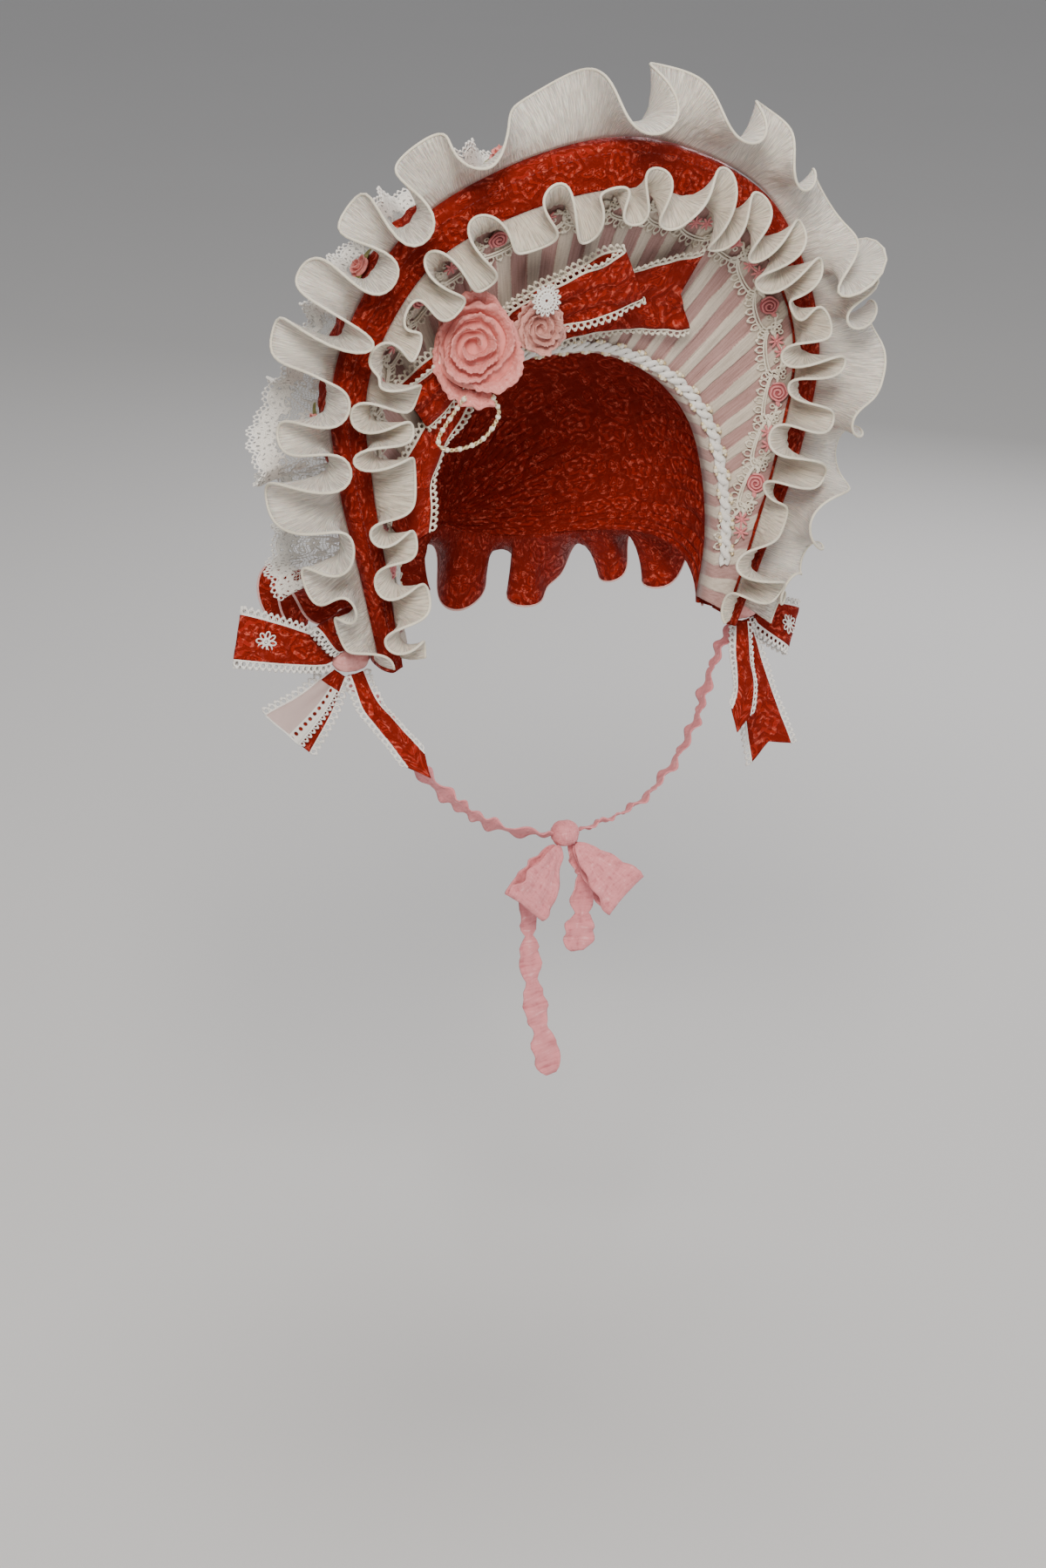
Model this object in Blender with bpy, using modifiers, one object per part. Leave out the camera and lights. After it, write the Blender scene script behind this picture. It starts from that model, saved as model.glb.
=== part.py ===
"""Ruffled bonnet: brim, lining, crown, ruffles, lace, bows, roses and chin ties.

Every size below is in millimetres and becomes metres when a mesh is made.  The origin is the point
where the inside of the crown rests on top of the head, +Z is up and the face looks along -Y, so +X
is the wearer's left.  The brim is described by u, which runs from -1 at the lower end on the -X
side, over the top at 0, to +1 at the lower end on the +X side.
"""
import math
from collections import namedtuple

import bmesh
import bpy
import numpy as np
from mathutils import Matrix, Vector

MM = 0.001
GAP = 0.35
FACE_WAY = (0.0, -1.0, 0.0)
UP = (0.0, 0.0, 1.0)

# Cloth thicknesses
SHELL_WALL = 1.6
LINING_WALL = 1.1
CROWN_WALL = 1.5
RUFFLE_WALL = 1.0
LACE_WALL = 1.0
RIBBON_WALL = 1.2

# Half outlines of the brim, one row for each station from the top to the lower end
Station = namedtuple("Station", "u rim_x rim_y rim_z head_x head_y head_z")
STATIONS = (
    Station(0.00, 0, -90, 117, 0, -35, -1),
    Station(0.14, 50, -82, 106, 22, -33, -3),
    Station(0.28, 98, -73, 80, 48, -32, -13),
    Station(0.43, 128, -66, 37, 70, -33, -28),
    Station(0.57, 140, -63, -6, 86, -35, -50),
    Station(0.71, 134, -61, -55, 94, -37, -80),
    Station(0.85, 119, -57, -108, 96, -39, -114),
    Station(1.00, 104, -50, -159, 91, -40, -150),
)

# Section of the brim's outer skin, from the border's inner edge over the rim and back to the crown
Row = namedtuple("Row", "to_crown border out back")
BRIM_ROWS = (
    Row(0.0, 1.0, 0.0, 1.0),
    Row(0.0, 0.5, 0.0, 0.3),
    Row(0.0, 0.0, 0.0, 0.0),
    Row(0.0, 0.0, 2.5, 6.0),
    Row(0.0, 0.0, 3.0, 16.0),
    Row(0.0, 0.0, 0.0, 26.0),
    Row(0.45, 0.0, 5.0, 0.0),
    Row(1.0, 0.0, 0.0, 0.0),
)
BORDER_SIDE = 14.0
BORDER_TOP_EXTRA = 9.0
BORDER_TOP_SPREAD = 0.35
BORDER_END = 7.0
BORDER_TAPER_U = 0.7
BRIM_COLUMNS = 36
CROWN_SEAM_BACK = 14.5
CROWN_SEAM_OUT = 2.6
CROWN_SEAM_GAP = 1.3

# Pleated lining, which stops a little short of the brim's lower ends
PLEATS = 28
PLEAT_DEPTH = 0.8
LINING_END = 0.985
LINING_TUCK = 3.0
LINING_TURN_BACK = 12.0
LINING_SEAM_GAP = 0.9

# Crown: an ellipsoid that ends at a gathered point at the nape
HEAD_CENTRE = np.array((0.0, 0.0, -96.0))
HEAD_RADII = np.array((99.0, 108.0, 96.0))
NAPE = np.array((0.0, 101.0, -128.0))
HEM_RISE = 230.0
CROWN_COLUMNS = 24
CROWN_ROWS = 6

# Ruffles: where each fold swings forward, as values of u
OUTER_FOLDS = (-1.06, -0.96, -0.86, -0.76, -0.66, -0.56, -0.46, -0.37, -0.28, -0.19, -0.02,
               0.145, 0.28, 0.42, 0.5, 0.636, 0.80, 0.91, 1.03)
INNER_FOLD_SPACING = 0.088
Ruffle = namedtuple("Ruffle", "width lean swing sway steps")
OUTER_RUFFLE = Ruffle(33.0, 36.0, 42.0, 2.5, 7)
INNER_RUFFLE = Ruffle(24.0, 94.0, 40.0, 2.0, 5)
BACK_LACE = Ruffle(37.0, -28.0, 24.0, 2.0, 5)
BAVOLET = Ruffle(42.0, 0.0, 26.0, 3.0, 5)
FOLD_SPREAD = 0.8
OUTER_RUFFLE_END = 0.97
OUTER_RUFFLE_LIFT = 0.55
INNER_RUFFLE_END = 0.98
INNER_RUFFLE_LIFT = 0.2
BACK_LACE_FOLDS = 15
BACK_LACE_END = 0.84
BACK_LACE_SHARE = 0.4
BACK_LACE_LIFT = 6.7
BAVOLET_FOLDS = 11
BAVOLET_TAPER = 0.14
BAVOLET_LIFT = 0.8
BAVOLET_DROOP_SIDE = 0.1
BAVOLET_DROOP_NAPE = 1.3
HEM_POINTS = 24

# Trims on the lining
ROSE_TRIM_WIDTH = 19.0
ROSE_TRIM_INSET = 1.5
SCALLOP_DEPTH = 2.5
SCALLOPS = 22
ROSE_TRIM_END = 0.86
HEAD_TRIM_WIDTH = 8.0
HEAD_TRIM_START = 0.4
HEAD_TRIM_END = 0.9
HEAD_TRIM_COLUMNS = 36
TRIM_WALL = 1.2

# Small ribbon roses on the outside of the brim, by their u
RIBBON_ROSES = (-0.62, -0.38, -0.15, 0.13, 0.38, 0.62)
RIBBON_ROSE_RADIUS = 6.0
RIBBON_ROSE_FLATNESS = 0.6
RIBBON_ROSE_BACK = 3.0

# Facets of the rounded solids: columns round the axis and rows along it
Facets = namedtuple("Facets", "columns rows")
KNOT_FACETS = Facets(10, 6)
ROSE_FACETS = Facets(18, 10)
LEAF_FACETS = Facets(10, 4)
SMALL_FACETS = Facets(8, 6)

# Ribbon loops: points round the loop and half the space left inside it at the knot
LOOP_POINTS = 11
LOOP_CLEARANCE = 1.6
LOOP_ROUNDNESS = 0.85
LOOP_BULGE_ROUNDNESS = 0.7

# Bow on the brim.  Each tip is where the ribbon's centre line ends
BOW_FACING = (-0.1, -0.88, -0.45)
BOW_CENTRE = (-52.0, -56.0, 22.0)
BOW_KNOT_RADII = (6.5, 7.4, 8.0)
Loop = namedtuple("Loop", "name tip width_knot width_tip bulge")
Tail = namedtuple("Tail", "name points width_start width_end notch")
BOW_LOOPS = (
    Loop("bow_loop_right", (12.0, -86.0, 50.0), 8.0, 36.0, 4.5),
    Loop("bow_loop_left", (-97.0, -57.0, -16.0), 8.0, 32.0, 4.0),
)
BOW_TAILS = (
    Tail("bow_tail_right", ((-30.0, -46.5, 16.0), (15.0, -55.5, 28.0), (59.0, -61.0, 32.0)),
         8.0, 50.0, 9.0),
    Tail("bow_tail_left", ((-50.0, -47.0, 2.0), (-70.0, -44.5, -22.0), (-91.0, -50.0, -54.0),
                           (-99.0, -57.0, -84.0)), 8.0, 24.0, -8.0),
)

# Roses on the brim bow: centre, way it faces, radius, depth and number of petal rings
Rose = namedtuple("Rose", "name centre facing radius depth petals")
ROSES = (
    Rose("big_rose", (-71.0, -75.5, 17.0), (-0.35, -0.92, 0.1), 26.0, 10.0, 5),
    Rose("small_rose", (-36.0, -77.3, 24.0), (-0.2, -0.95, 0.1), 15.0, 7.0, 4),
)
CROCHET_CENTRE = (-37.0, -84.2, 40.0)
CROCHET_RADIUS = 7.0
CROCHET_WALL = 2.0
BEAD_LOOP_ROUTE = ((-63.0, -77.5, -8.0), (-57.0, -73.0, -20.0), (-66.0, -71.0, -33.0),
                   (-82.0, -68.0, -37.0), (-88.0, -67.0, -31.0), (-80.0, -70.0, -16.0),
                   (-77.0, -75.0, -8.0))
BEAD_RADIUS = 1.3

# Side bows, one table for each side
SIDE_KNOT_RADII = (11.0, 8.0, 8.0)
SIDE_KNOT_U = 0.985
SIDE_KNOT_BACK = 21.0
SIDE_KNOT_OUT = 13.1
SIDE_BOW_FACING = (0.0, -1.0, 0.3)
SIDE_LOOPS = {
    "left": (
        Loop("side_bow_left_loop_back", (-182.0, -28.0, -136.0), 8.0, 24.0, 6.0),
        Loop("side_bow_left_loop_front", (-130.0, -37.0, -128.0), 8.0, 26.0, 5.0),
    ),
    "right": (
        Loop("side_bow_right_loop_back", (157.0, -24.0, -174.0), 8.0, 24.0, 5.0),
        Loop("side_bow_right_loop_front", (128.0, -33.0, -134.0), 8.0, 24.0, 5.0),
    ),
}
SIDE_TAILS = {
    "left": (
        Tail("side_bow_left_tail_back", ((-137.0, -27.0, -179.0), (-151.0, -22.0, -195.0)),
             8.0, 32.0, 0.0),
        Tail("side_bow_left_tail_front",
             ((-113.0, -44.0, -178.0), (-105.0, -60.0, -192.0), (-95.0, -70.0, -207.0)),
             8.0, 12.0, -12.0),
    ),
    "right": (
        Tail("side_bow_right_tail_back", ((127.0, -34.0, -198.0), (138.0, -37.0, -238.0)),
             8.0, 28.0, 7.0),
        Tail("side_bow_right_tail_front",
             ((113.0, -44.0, -178.0), (107.0, -58.0, -192.0), (98.0, -68.0, -208.0)),
             8.0, 12.0, -12.0),
    ),
}

# Chin ties: the +X half of the loop from the side bow to the knot at the throat
TIE_ROUTE = ((116.2, -24.5, -166.0), (99.0, -33.0, -190.0), (84.0, -44.0, -214.0),
             (60.0, -56.0, -236.0), (34.0, -65.0, -249.0), (-0.6, -69.0, -256.0))
TIE_WIDTH = 14.0
TIE_POINTS = 19
NECK_CENTRE = (0.0, -20.0, -200.0)
NECK_SHARE = (1.0, 0.6, 1.0)
PETAL_WAVE = 2.0
CHIN_KNOT = (-9.0, -69.0, -256.0)
CHIN_KNOT_RADII = (8.0, 8.0, 8.0)
CHIN_LOOPS = (
    Loop("chin_loop_right", (20.0, -86.0, -290.0), 7.0, 26.0, 5.0),
    Loop("chin_loop_left", (-40.0, -84.0, -288.0), 7.0, 26.0, 5.0),
)
CHIN_TAILS = (
    Tail("chin_tail_short", ((5.0, -66.0, -284.0), (2.0, -67.0, -327.0)), 6.0, 18.0, 0.0),
    Tail("chin_tail_long", ((-27.0, -65.0, -284.0), (-24.0, -65.0, -345.0), (-13.0, -69.0, -397.0)),
         6.0, 15.0, 0.0),
)

# Colours: red, green and blue, then roughness
Finish = namedtuple("Finish", "red green blue roughness")
BROCADE = Finish(0.40, 0.035, 0.025, 0.45)
CHIFFON = Finish(0.80, 0.74, 0.65, 0.80)
STRIPED = Finish(0.66, 0.56, 0.50, 0.75)
LACE = Finish(0.85, 0.80, 0.70, 0.80)
PINK = Finish(0.78, 0.30, 0.28, 0.60)
DUSTY_PINK = Finish(0.70, 0.33, 0.32, 0.65)
BEADS = Finish(0.75, 0.70, 0.58, 0.30)


def clear_scene():
    """Remove every object that the file starts with."""
    for item in list(bpy.data.objects):
        bpy.data.objects.remove(item, do_unlink=True)


def smooth_curve(knots, values, at):
    """Cubic through the values at the knots, its slopes taken from the neighbouring knots."""
    knots = np.asarray(knots, dtype=float)
    values = np.asarray(values, dtype=float)
    slopes = np.gradient(values, knots, axis=0)
    at = np.clip(np.asarray(at, dtype=float), knots[0], knots[-1])
    left = np.clip(np.searchsorted(knots, at, side="right") - 1, 0, len(knots) - 2)
    span = (knots[left + 1] - knots[left])[:, None]
    s = ((at - knots[left])[:, None]) / span
    return ((2 * s**3 - 3 * s**2 + 1) * values[left] + (s**3 - 2 * s**2 + s) * span * slopes[left]
            + (3 * s**2 - 2 * s**3) * values[left + 1] + (s**3 - s**2) * span * slopes[left + 1])


def both_sides(columns):
    """The knots and values of one outline on both sides of the brim."""
    half = np.array([[getattr(row, name) for name in ("u",) + columns] for row in STATIONS], float)
    mirrored = half[:0:-1] * np.array((-1.0, -1.0, 1.0, 1.0))
    whole = np.vstack((mirrored, half))
    return whole[:, 0], whole[:, 1:]


RIM = both_sides(("rim_x", "rim_y", "rim_z"))
HEAD_EDGE = both_sides(("head_x", "head_y", "head_z"))


def unit(vectors):
    """Vectors of length one along the last axis."""
    return vectors / np.linalg.norm(vectors, axis=-1, keepdims=True)


def brim_frame(u):
    """Rim points with the ways outward and forward from them."""
    step = 0.01
    points = smooth_curve(*RIM, u)
    along = unit(smooth_curve(*RIM, np.minimum(u + step, 1.0))
                 - smooth_curve(*RIM, np.maximum(u - step, -1.0)))
    forward = unit(np.array(FACE_WAY) + along * along[:, 1:2])
    outward = np.cross(forward, along)
    return points, outward, forward, along


def brim_point(u, out, back):
    """Points at a distance outward and backward from the rim."""
    points, outward, forward, _ = brim_frame(u)
    out = np.broadcast_to(out, u.shape)[:, None]
    back = np.broadcast_to(back, u.shape)[:, None]
    return points + outward * out - forward * back


def border_width(u):
    """Width of the red border in front, wider over the forehead and narrower at the ends."""
    top = BORDER_TOP_EXTRA * np.exp(-(u / BORDER_TOP_SPREAD) ** 2)
    taper = np.clip((np.abs(u) - BORDER_TAPER_U) / (1.0 - BORDER_TAPER_U), 0.0, 1.0)
    return BORDER_SIDE + top - (BORDER_SIDE - BORDER_END) * taper


def crown_seam(u):
    """Where the crown's front edge lies, behind the brim's head edge."""
    edge = smooth_curve(*HEAD_EDGE, u)
    _, outward, _, _ = brim_frame(u)
    return edge + np.array((0.0, CROWN_SEAM_BACK, 0.0)) + outward * CROWN_SEAM_OUT


def brim_skin(u, row):
    """One row of the brim's outer skin."""
    border = -border_width(u) * row.border
    near_rim = brim_point(u, border + row.out, row.back)
    if row.to_crown == 0.0:
        return near_rim
    behind_rim = brim_point(u, BRIM_ROWS[5].out, BRIM_ROWS[5].back)
    _, outward, _, _ = brim_frame(u)
    blend = behind_rim * (1 - row.to_crown) + crown_seam(u) * row.to_crown
    return blend + outward * row.out


def lining_point(u, share):
    """Front of the lining, from the head edge at 0 to the border's seam at 1."""
    edge = smooth_curve(*HEAD_EDGE, u)
    behind = BRIM_ROWS[0].back + SHELL_WALL + GAP + LINING_SEAM_GAP
    seam = brim_point(u, LINING_TUCK - border_width(u), behind)
    share = np.broadcast_to(share, u.shape)[:, None]
    return edge * (1 - share) + seam * share


def link(obj, collection, finish):
    """Put an object in the collection with a material of its own."""
    material = bpy.data.materials.new(obj.name + "_finish")
    material.use_nodes = True
    shader = material.node_tree.nodes["Principled BSDF"]
    shader.inputs["Base Color"].default_value = (finish.red, finish.green, finish.blue, 1.0)
    shader.inputs["Roughness"].default_value = finish.roughness
    shader.inputs["Metallic"].default_value = 0.0
    material.diffuse_color = (finish.red, finish.green, finish.blue, 1.0)
    obj.data.materials.append(material)
    collection.objects.link(obj)
    return obj


def sheet(name, grid, wall, finish, collection, facing=None, last_is_point=False):
    """A sheet lofted through a grid of points, with its thickness from Solidify.

    With facing, the grid is the side that looks that way and the thickness grows behind it.
    Without it the grid is the middle of the sheet.
    """
    rows, columns = grid.shape[:2]
    points = grid.reshape(-1, 3)
    if last_is_point:
        points = np.vstack((grid[:, :-1].reshape(-1, 3), grid[0, -1][None]))
        columns -= 1
    faces = [(i * columns + j, (i + 1) * columns + j, (i + 1) * columns + j + 1, i * columns + j + 1)
             for i in range(rows - 1) for j in range(columns - 1)]
    if last_is_point:
        tip = len(points) - 1
        faces += [(i * columns + columns - 1, (i + 1) * columns + columns - 1, tip)
                  for i in range(rows - 1)]
    mesh = bpy.data.meshes.new(name)
    mesh.from_pydata((points * MM).tolist(), [], faces)
    if facing is not None:
        lean = sum(face.normal.dot(Vector(facing)) * face.area for face in mesh.polygons)
        if lean < 0.0:
            mesh.flip_normals()
    mesh.shade_smooth()
    obj = link(bpy.data.objects.new(name, mesh), collection, finish)
    wall_maker = obj.modifiers.new("wall", "SOLIDIFY")
    wall_maker.thickness = wall * MM
    wall_maker.offset = 0.0 if facing is None else -1.0
    return obj


def fold_phase(u, folds):
    """Count of folds passed at u, so that each whole number is a fold that swings forward."""
    return np.interp(u, folds, np.arange(len(folds)))


def ruffle(name, roots, first, second, along, phase, shape, wall, finish, collection, taper=1.0):
    """A gathered strip: its hem swings between two ways while its root stays sewn down.

    The lean is the mean angle from the first way to the second, and the swing is added where
    the phase is a whole number and taken away halfway between.  The taper is the share of the
    full width that each root has.
    """
    columns = []
    for share in (0.0, 0.5, 1.0):
        turn = np.radians(shape.lean + shape.swing * share**FOLD_SPREAD * np.cos(2 * math.pi * phase))
        sway = shape.sway * share * np.sin(4 * math.pi * phase)
        reach = (np.broadcast_to(taper, phase.shape) * shape.width * share)[:, None]
        columns.append(roots + reach * (np.cos(turn)[:, None] * first + np.sin(turn)[:, None] * second)
                       + sway[:, None] * along)
    return sheet(name, np.stack(columns, axis=1), wall, finish, collection)


def make_brim(collection):
    """The stiffened brim: red border in front, round the rim and back to the crown."""
    u = np.linspace(-1.0, 1.0, BRIM_COLUMNS + 1)
    grid = np.stack([brim_skin(u, row) for row in BRIM_ROWS], axis=1)
    shell = sheet("brim_shell", grid, SHELL_WALL, BROCADE, collection)
    # The grid is the outer skin, so its faces look out and the thickness grows inside
    mesh = shell.data
    side = sum(face.normal.dot(face.center.normalized()) * face.area for face in mesh.polygons)
    if side < 0.0:
        mesh.flip_normals()
    shell.modifiers["wall"].offset = -1.0


def make_lining(collection):
    """Pleated lining, turned back round the head edge to the crown."""
    u = np.linspace(-LINING_END, LINING_END, 2 * PLEATS + 1)
    fold = np.where(np.arange(len(u)) % 2 == 0, PLEAT_DEPTH, -PLEAT_DEPTH)
    _, _, forward, _ = brim_frame(u)
    edge = lining_point(u, 0.0)
    turned = edge + np.array((0.0, LINING_TURN_BACK, 0.0))
    middle = lining_point(u, 0.5) + forward * fold[:, None]
    seam = lining_point(u, 1.0) + forward * (fold * 0.5)[:, None]
    grid = np.stack((turned, edge, middle, seam), axis=1)
    sheet("brim_lining", grid, LINING_WALL, STRIPED, collection, facing=FACE_WAY)


def crown_point(u, share, lift=0.0):
    """Inside of the crown, from its front edge at 0 to the nape at 1."""
    start = crown_seam(u) + np.array((0.0, CROWN_SEAM_GAP, 0.0)) - HEAD_CENTRE
    finish = NAPE - HEAD_CENTRE
    start_way, end_way = unit(start), unit(finish)
    angle = np.arccos(np.clip(start_way @ end_way, -1.0, 1.0))[:, None]
    share = np.broadcast_to(share, u.shape)[:, None]
    way = (np.sin((1 - share) * angle) * start_way + np.sin(share * angle) * end_way) / np.sin(angle)
    rise = HEM_RISE * share * (1.0 - share) ** 2 * np.abs(u[:, None]) ** 4
    way = unit(way * HEAD_RADII[0] + np.array(UP) * rise)
    round_radius = 1.0 / np.linalg.norm(way / HEAD_RADII, axis=1, keepdims=True)
    start_radius = 1.0 / np.linalg.norm(start_way / HEAD_RADII, axis=1, keepdims=True)
    start_ratio = np.linalg.norm(start, axis=1, keepdims=True) / start_radius
    radius = round_radius * (1.0 + (start_ratio - 1.0) * (1.0 - share) ** 3) + lift
    return HEAD_CENTRE + way * radius


def make_crown(collection):
    """Soft crown over the back of the head, gathered to one point at the nape."""
    u = np.linspace(-1.0, 1.0, CROWN_COLUMNS + 1)
    shares = np.linspace(0.0, 1.0, CROWN_ROWS + 1)
    grid = np.stack([crown_point(u, share, CROWN_WALL) for share in shares], axis=1)
    crown = sheet("crown_cap", grid, CROWN_WALL, BROCADE, collection, last_is_point=True)
    mesh = crown.data
    centre = Vector(HEAD_CENTRE * MM)
    side = sum(face.normal.dot(face.center - centre) * face.area for face in mesh.polygons)
    if side < 0.0:
        mesh.flip_normals()
    crown.modifiers["wall"].offset = -1.0


def make_rim_ruffles(collection):
    """The wide ruffle behind the rim and the narrower one over the lining's seam."""
    steps = (len(OUTER_FOLDS) - 1) * OUTER_RUFFLE.steps
    u = np.linspace(-OUTER_RUFFLE_END, OUTER_RUFFLE_END, steps + 1)
    _, outward, forward, along = brim_frame(u)
    roots = brim_point(u, BRIM_ROWS[3].out + GAP + OUTER_RUFFLE_LIFT, BRIM_ROWS[3].back + 1.0)
    ruffle("outer_ruffle", roots, outward, forward, along, fold_phase(u, OUTER_FOLDS),
           OUTER_RUFFLE, RUFFLE_WALL, CHIFFON, collection)
    folds = round(2.0 / INNER_FOLD_SPACING)
    u = np.linspace(-INNER_RUFFLE_END, INNER_RUFFLE_END, folds * INNER_RUFFLE.steps + 1)
    _, outward, forward, along = brim_frame(u)
    roots = brim_point(u, 1.0 - border_width(u), BRIM_ROWS[0].back - GAP - INNER_RUFFLE_LIFT)
    ruffle("inner_ruffle", roots, outward, forward, along, u / INNER_FOLD_SPACING,
           INNER_RUFFLE, RUFFLE_WALL, CHIFFON, collection)


def make_back_lace(collection):
    """Net lace ruffle on the outside of the brim, above the crown seam."""
    u = np.linspace(-BACK_LACE_END, BACK_LACE_END, BACK_LACE_FOLDS * BACK_LACE.steps + 1)
    _, outward, forward, along = brim_frame(u)
    behind_rim = brim_point(u, BRIM_ROWS[5].out, BRIM_ROWS[5].back)
    roots = behind_rim * (1.0 - BACK_LACE_SHARE) + crown_seam(u) * BACK_LACE_SHARE
    phase = (u / BACK_LACE_END + 1.0) / 2.0 * BACK_LACE_FOLDS
    ruffle("back_lace", roots + outward * BACK_LACE_LIFT, outward, forward, along, phase,
           BACK_LACE, LACE_WALL, LACE, collection)


def make_bavolet(collection):
    """Neck ruffle along the crown's lower edge, running a little way up each side."""
    nape = np.linspace(0.02, 1.0, HEM_POINTS)
    half = crown_point(np.ones(len(nape)), nape, CROWN_WALL)
    whole = np.vstack((half, (half * np.array((-1.0, 1.0, 1.0)))[::-1][1:]))
    steps = np.concatenate(([0.0], np.cumsum(np.linalg.norm(np.diff(whole, axis=0), axis=1))))
    where = np.linspace(0.0, 1.0, BAVOLET_FOLDS * BAVOLET.steps + 1)
    roots = np.stack([np.interp(where * steps[-1], steps, whole[:, axis]) for axis in range(3)], axis=1)
    outward = unit((roots - HEAD_CENTRE) * np.array((1.0, 1.0, 0.25)) / HEAD_RADII**2)
    along = unit(np.gradient(roots, axis=0))
    droop = 1.0 - np.abs(where - 0.5) * 2.0
    sag = BAVOLET_DROOP_SIDE + BAVOLET_DROOP_NAPE * droop[:, None]
    first = unit(outward - np.array(UP) * sag)
    second = unit(np.cross(along, first))
    roots = roots + outward * (GAP + BAVOLET_LIFT)
    taper = np.clip((0.5 - np.abs(where - 0.5)) / BAVOLET_TAPER, 0.1, 1.0)
    ruffle("bavolet", roots, first, second, along, where * BAVOLET_FOLDS, BAVOLET, RUFFLE_WALL,
           BROCADE, collection, taper)


def lining_width(u):
    """Width of the lining from the head edge to the border's seam."""
    return np.linalg.norm(lining_point(u, 1.0) - lining_point(u, 0.0), axis=1)


def make_trims(collection):
    """The scalloped rose lace near the border and the braid along the head edge."""
    u = np.linspace(-ROSE_TRIM_END, ROSE_TRIM_END, 2 * SCALLOPS + 1)
    _, _, forward, _ = brim_frame(u)
    length = lining_width(u)
    start = LINING_TUCK + ROSE_TRIM_INSET
    wave = np.where(np.arange(len(u)) % 2 == 0, 0.0, SCALLOP_DEPTH)
    lift = forward * (PLEAT_DEPTH + TRIM_WALL + 2.0 * GAP)
    room = np.maximum(length - start - HEAD_TRIM_WIDTH - 2.0 * SCALLOP_DEPTH, 1.0)
    finish = start + np.minimum(ROSE_TRIM_WIDTH, room) + wave
    edges = [lining_point(u, 1.0 - reach / length) + lift for reach in (start, finish)]
    sheet("rose_trim", np.stack(edges, axis=1), TRIM_WALL, LACE, collection, facing=FACE_WAY)
    u = np.linspace(-HEAD_TRIM_END, HEAD_TRIM_END, HEAD_TRIM_COLUMNS + 1)
    _, _, forward, _ = brim_frame(u)
    length = lining_width(u)
    lift = forward * (PLEAT_DEPTH + TRIM_WALL + GAP)
    edges = [lining_point(u, reach / length) + lift for reach in (HEAD_TRIM_START, HEAD_TRIM_WIDTH)]
    sheet("head_trim", np.stack(edges, axis=1), TRIM_WALL, LACE, collection, facing=FACE_WAY)


def round_solid(name, centre, radii, facing, facets, finish, collection, shape=None):
    """A ball stretched to the radii, its third axis turned to face a way, then shaped."""
    mesh = bpy.data.meshes.new(name)
    work = bmesh.new()
    bmesh.ops.create_uvsphere(work, u_segments=facets.columns, v_segments=facets.rows, radius=1.0)
    turn = Vector(facing).to_track_quat("Z", "Y").to_matrix().to_4x4()
    for vertex in work.verts:
        local = Vector(vertex.co)
        if shape is not None:
            local = shape(local)
        vertex.co = Vector((local.x * radii[0], local.y * radii[1], local.z * radii[2])) * MM
    bmesh.ops.transform(work, verts=work.verts,
                        matrix=Matrix.Translation(Vector(centre) * MM) @ turn)
    work.to_mesh(mesh)
    work.free()
    mesh.shade_smooth()
    return link(bpy.data.objects.new(name, mesh), collection, finish)


def rose_shape(petals):
    """Petal rings on the front of a flattened ball, and a flatter back."""
    def shape(point):
        reach = math.hypot(point.x, point.y)
        turn = math.atan2(point.y, point.x)
        ridge = 0.16 * math.cos(petals * math.pi * reach * 2.0 - turn)
        scallop = 1.0 + 0.06 * math.cos(petals * turn)
        height = point.z + ridge if point.z > 0.15 else point.z * 0.75
        return Vector((point.x * scallop, point.y * scallop, height))
    return shape


def leafy_shape(point):
    """Two leaf tips on a small rose."""
    turn = math.atan2(point.y, point.x)
    leaf = 1.0 + 0.75 * max(0.0, math.cos(2.0 * turn)) ** 3
    return Vector((point.x * leaf, point.y, point.z))


def leave_knot(knot, radii, target):
    """Way from a knot to a target, and the point just clear of the knot that way."""
    knot = np.asarray(knot, float)
    out = unit(np.asarray(target, float) - knot)
    return out, knot + out * (np.linalg.norm(out * np.asarray(radii)) + GAP)


def make_loop(loop, knot, radii, collection, finish=BROCADE, toward=FACE_WAY):
    """A ribbon loop: out from the knot in front, round the tip and back behind."""
    tip = np.asarray(loop.tip, float)
    out, start = leave_knot(knot, radii, tip)
    front = unit(np.asarray(toward, float) - out * np.dot(toward, out))
    across = np.cross(out, front)
    length = np.linalg.norm(tip - start)
    a = np.linspace(0.0, 1.0, LOOP_POINTS)
    reach = np.sin(math.pi * a) ** LOOP_ROUNDNESS
    bulge = loop.bulge * np.sin(math.pi * a) ** LOOP_BULGE_ROUNDNESS
    depth = np.cos(math.pi * a) * (LOOP_CLEARANCE + bulge)
    width = loop.width_knot + (loop.width_tip - loop.width_knot) * np.sqrt(reach)
    centre = start + reach[:, None] * out * length + depth[:, None] * front
    edges = [centre + across * (width * side / 2.0)[:, None] for side in (-1.0, 0.0, 1.0)]
    sheet(loop.name, np.stack(edges, axis=1), RIBBON_WALL, finish, collection)


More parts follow.
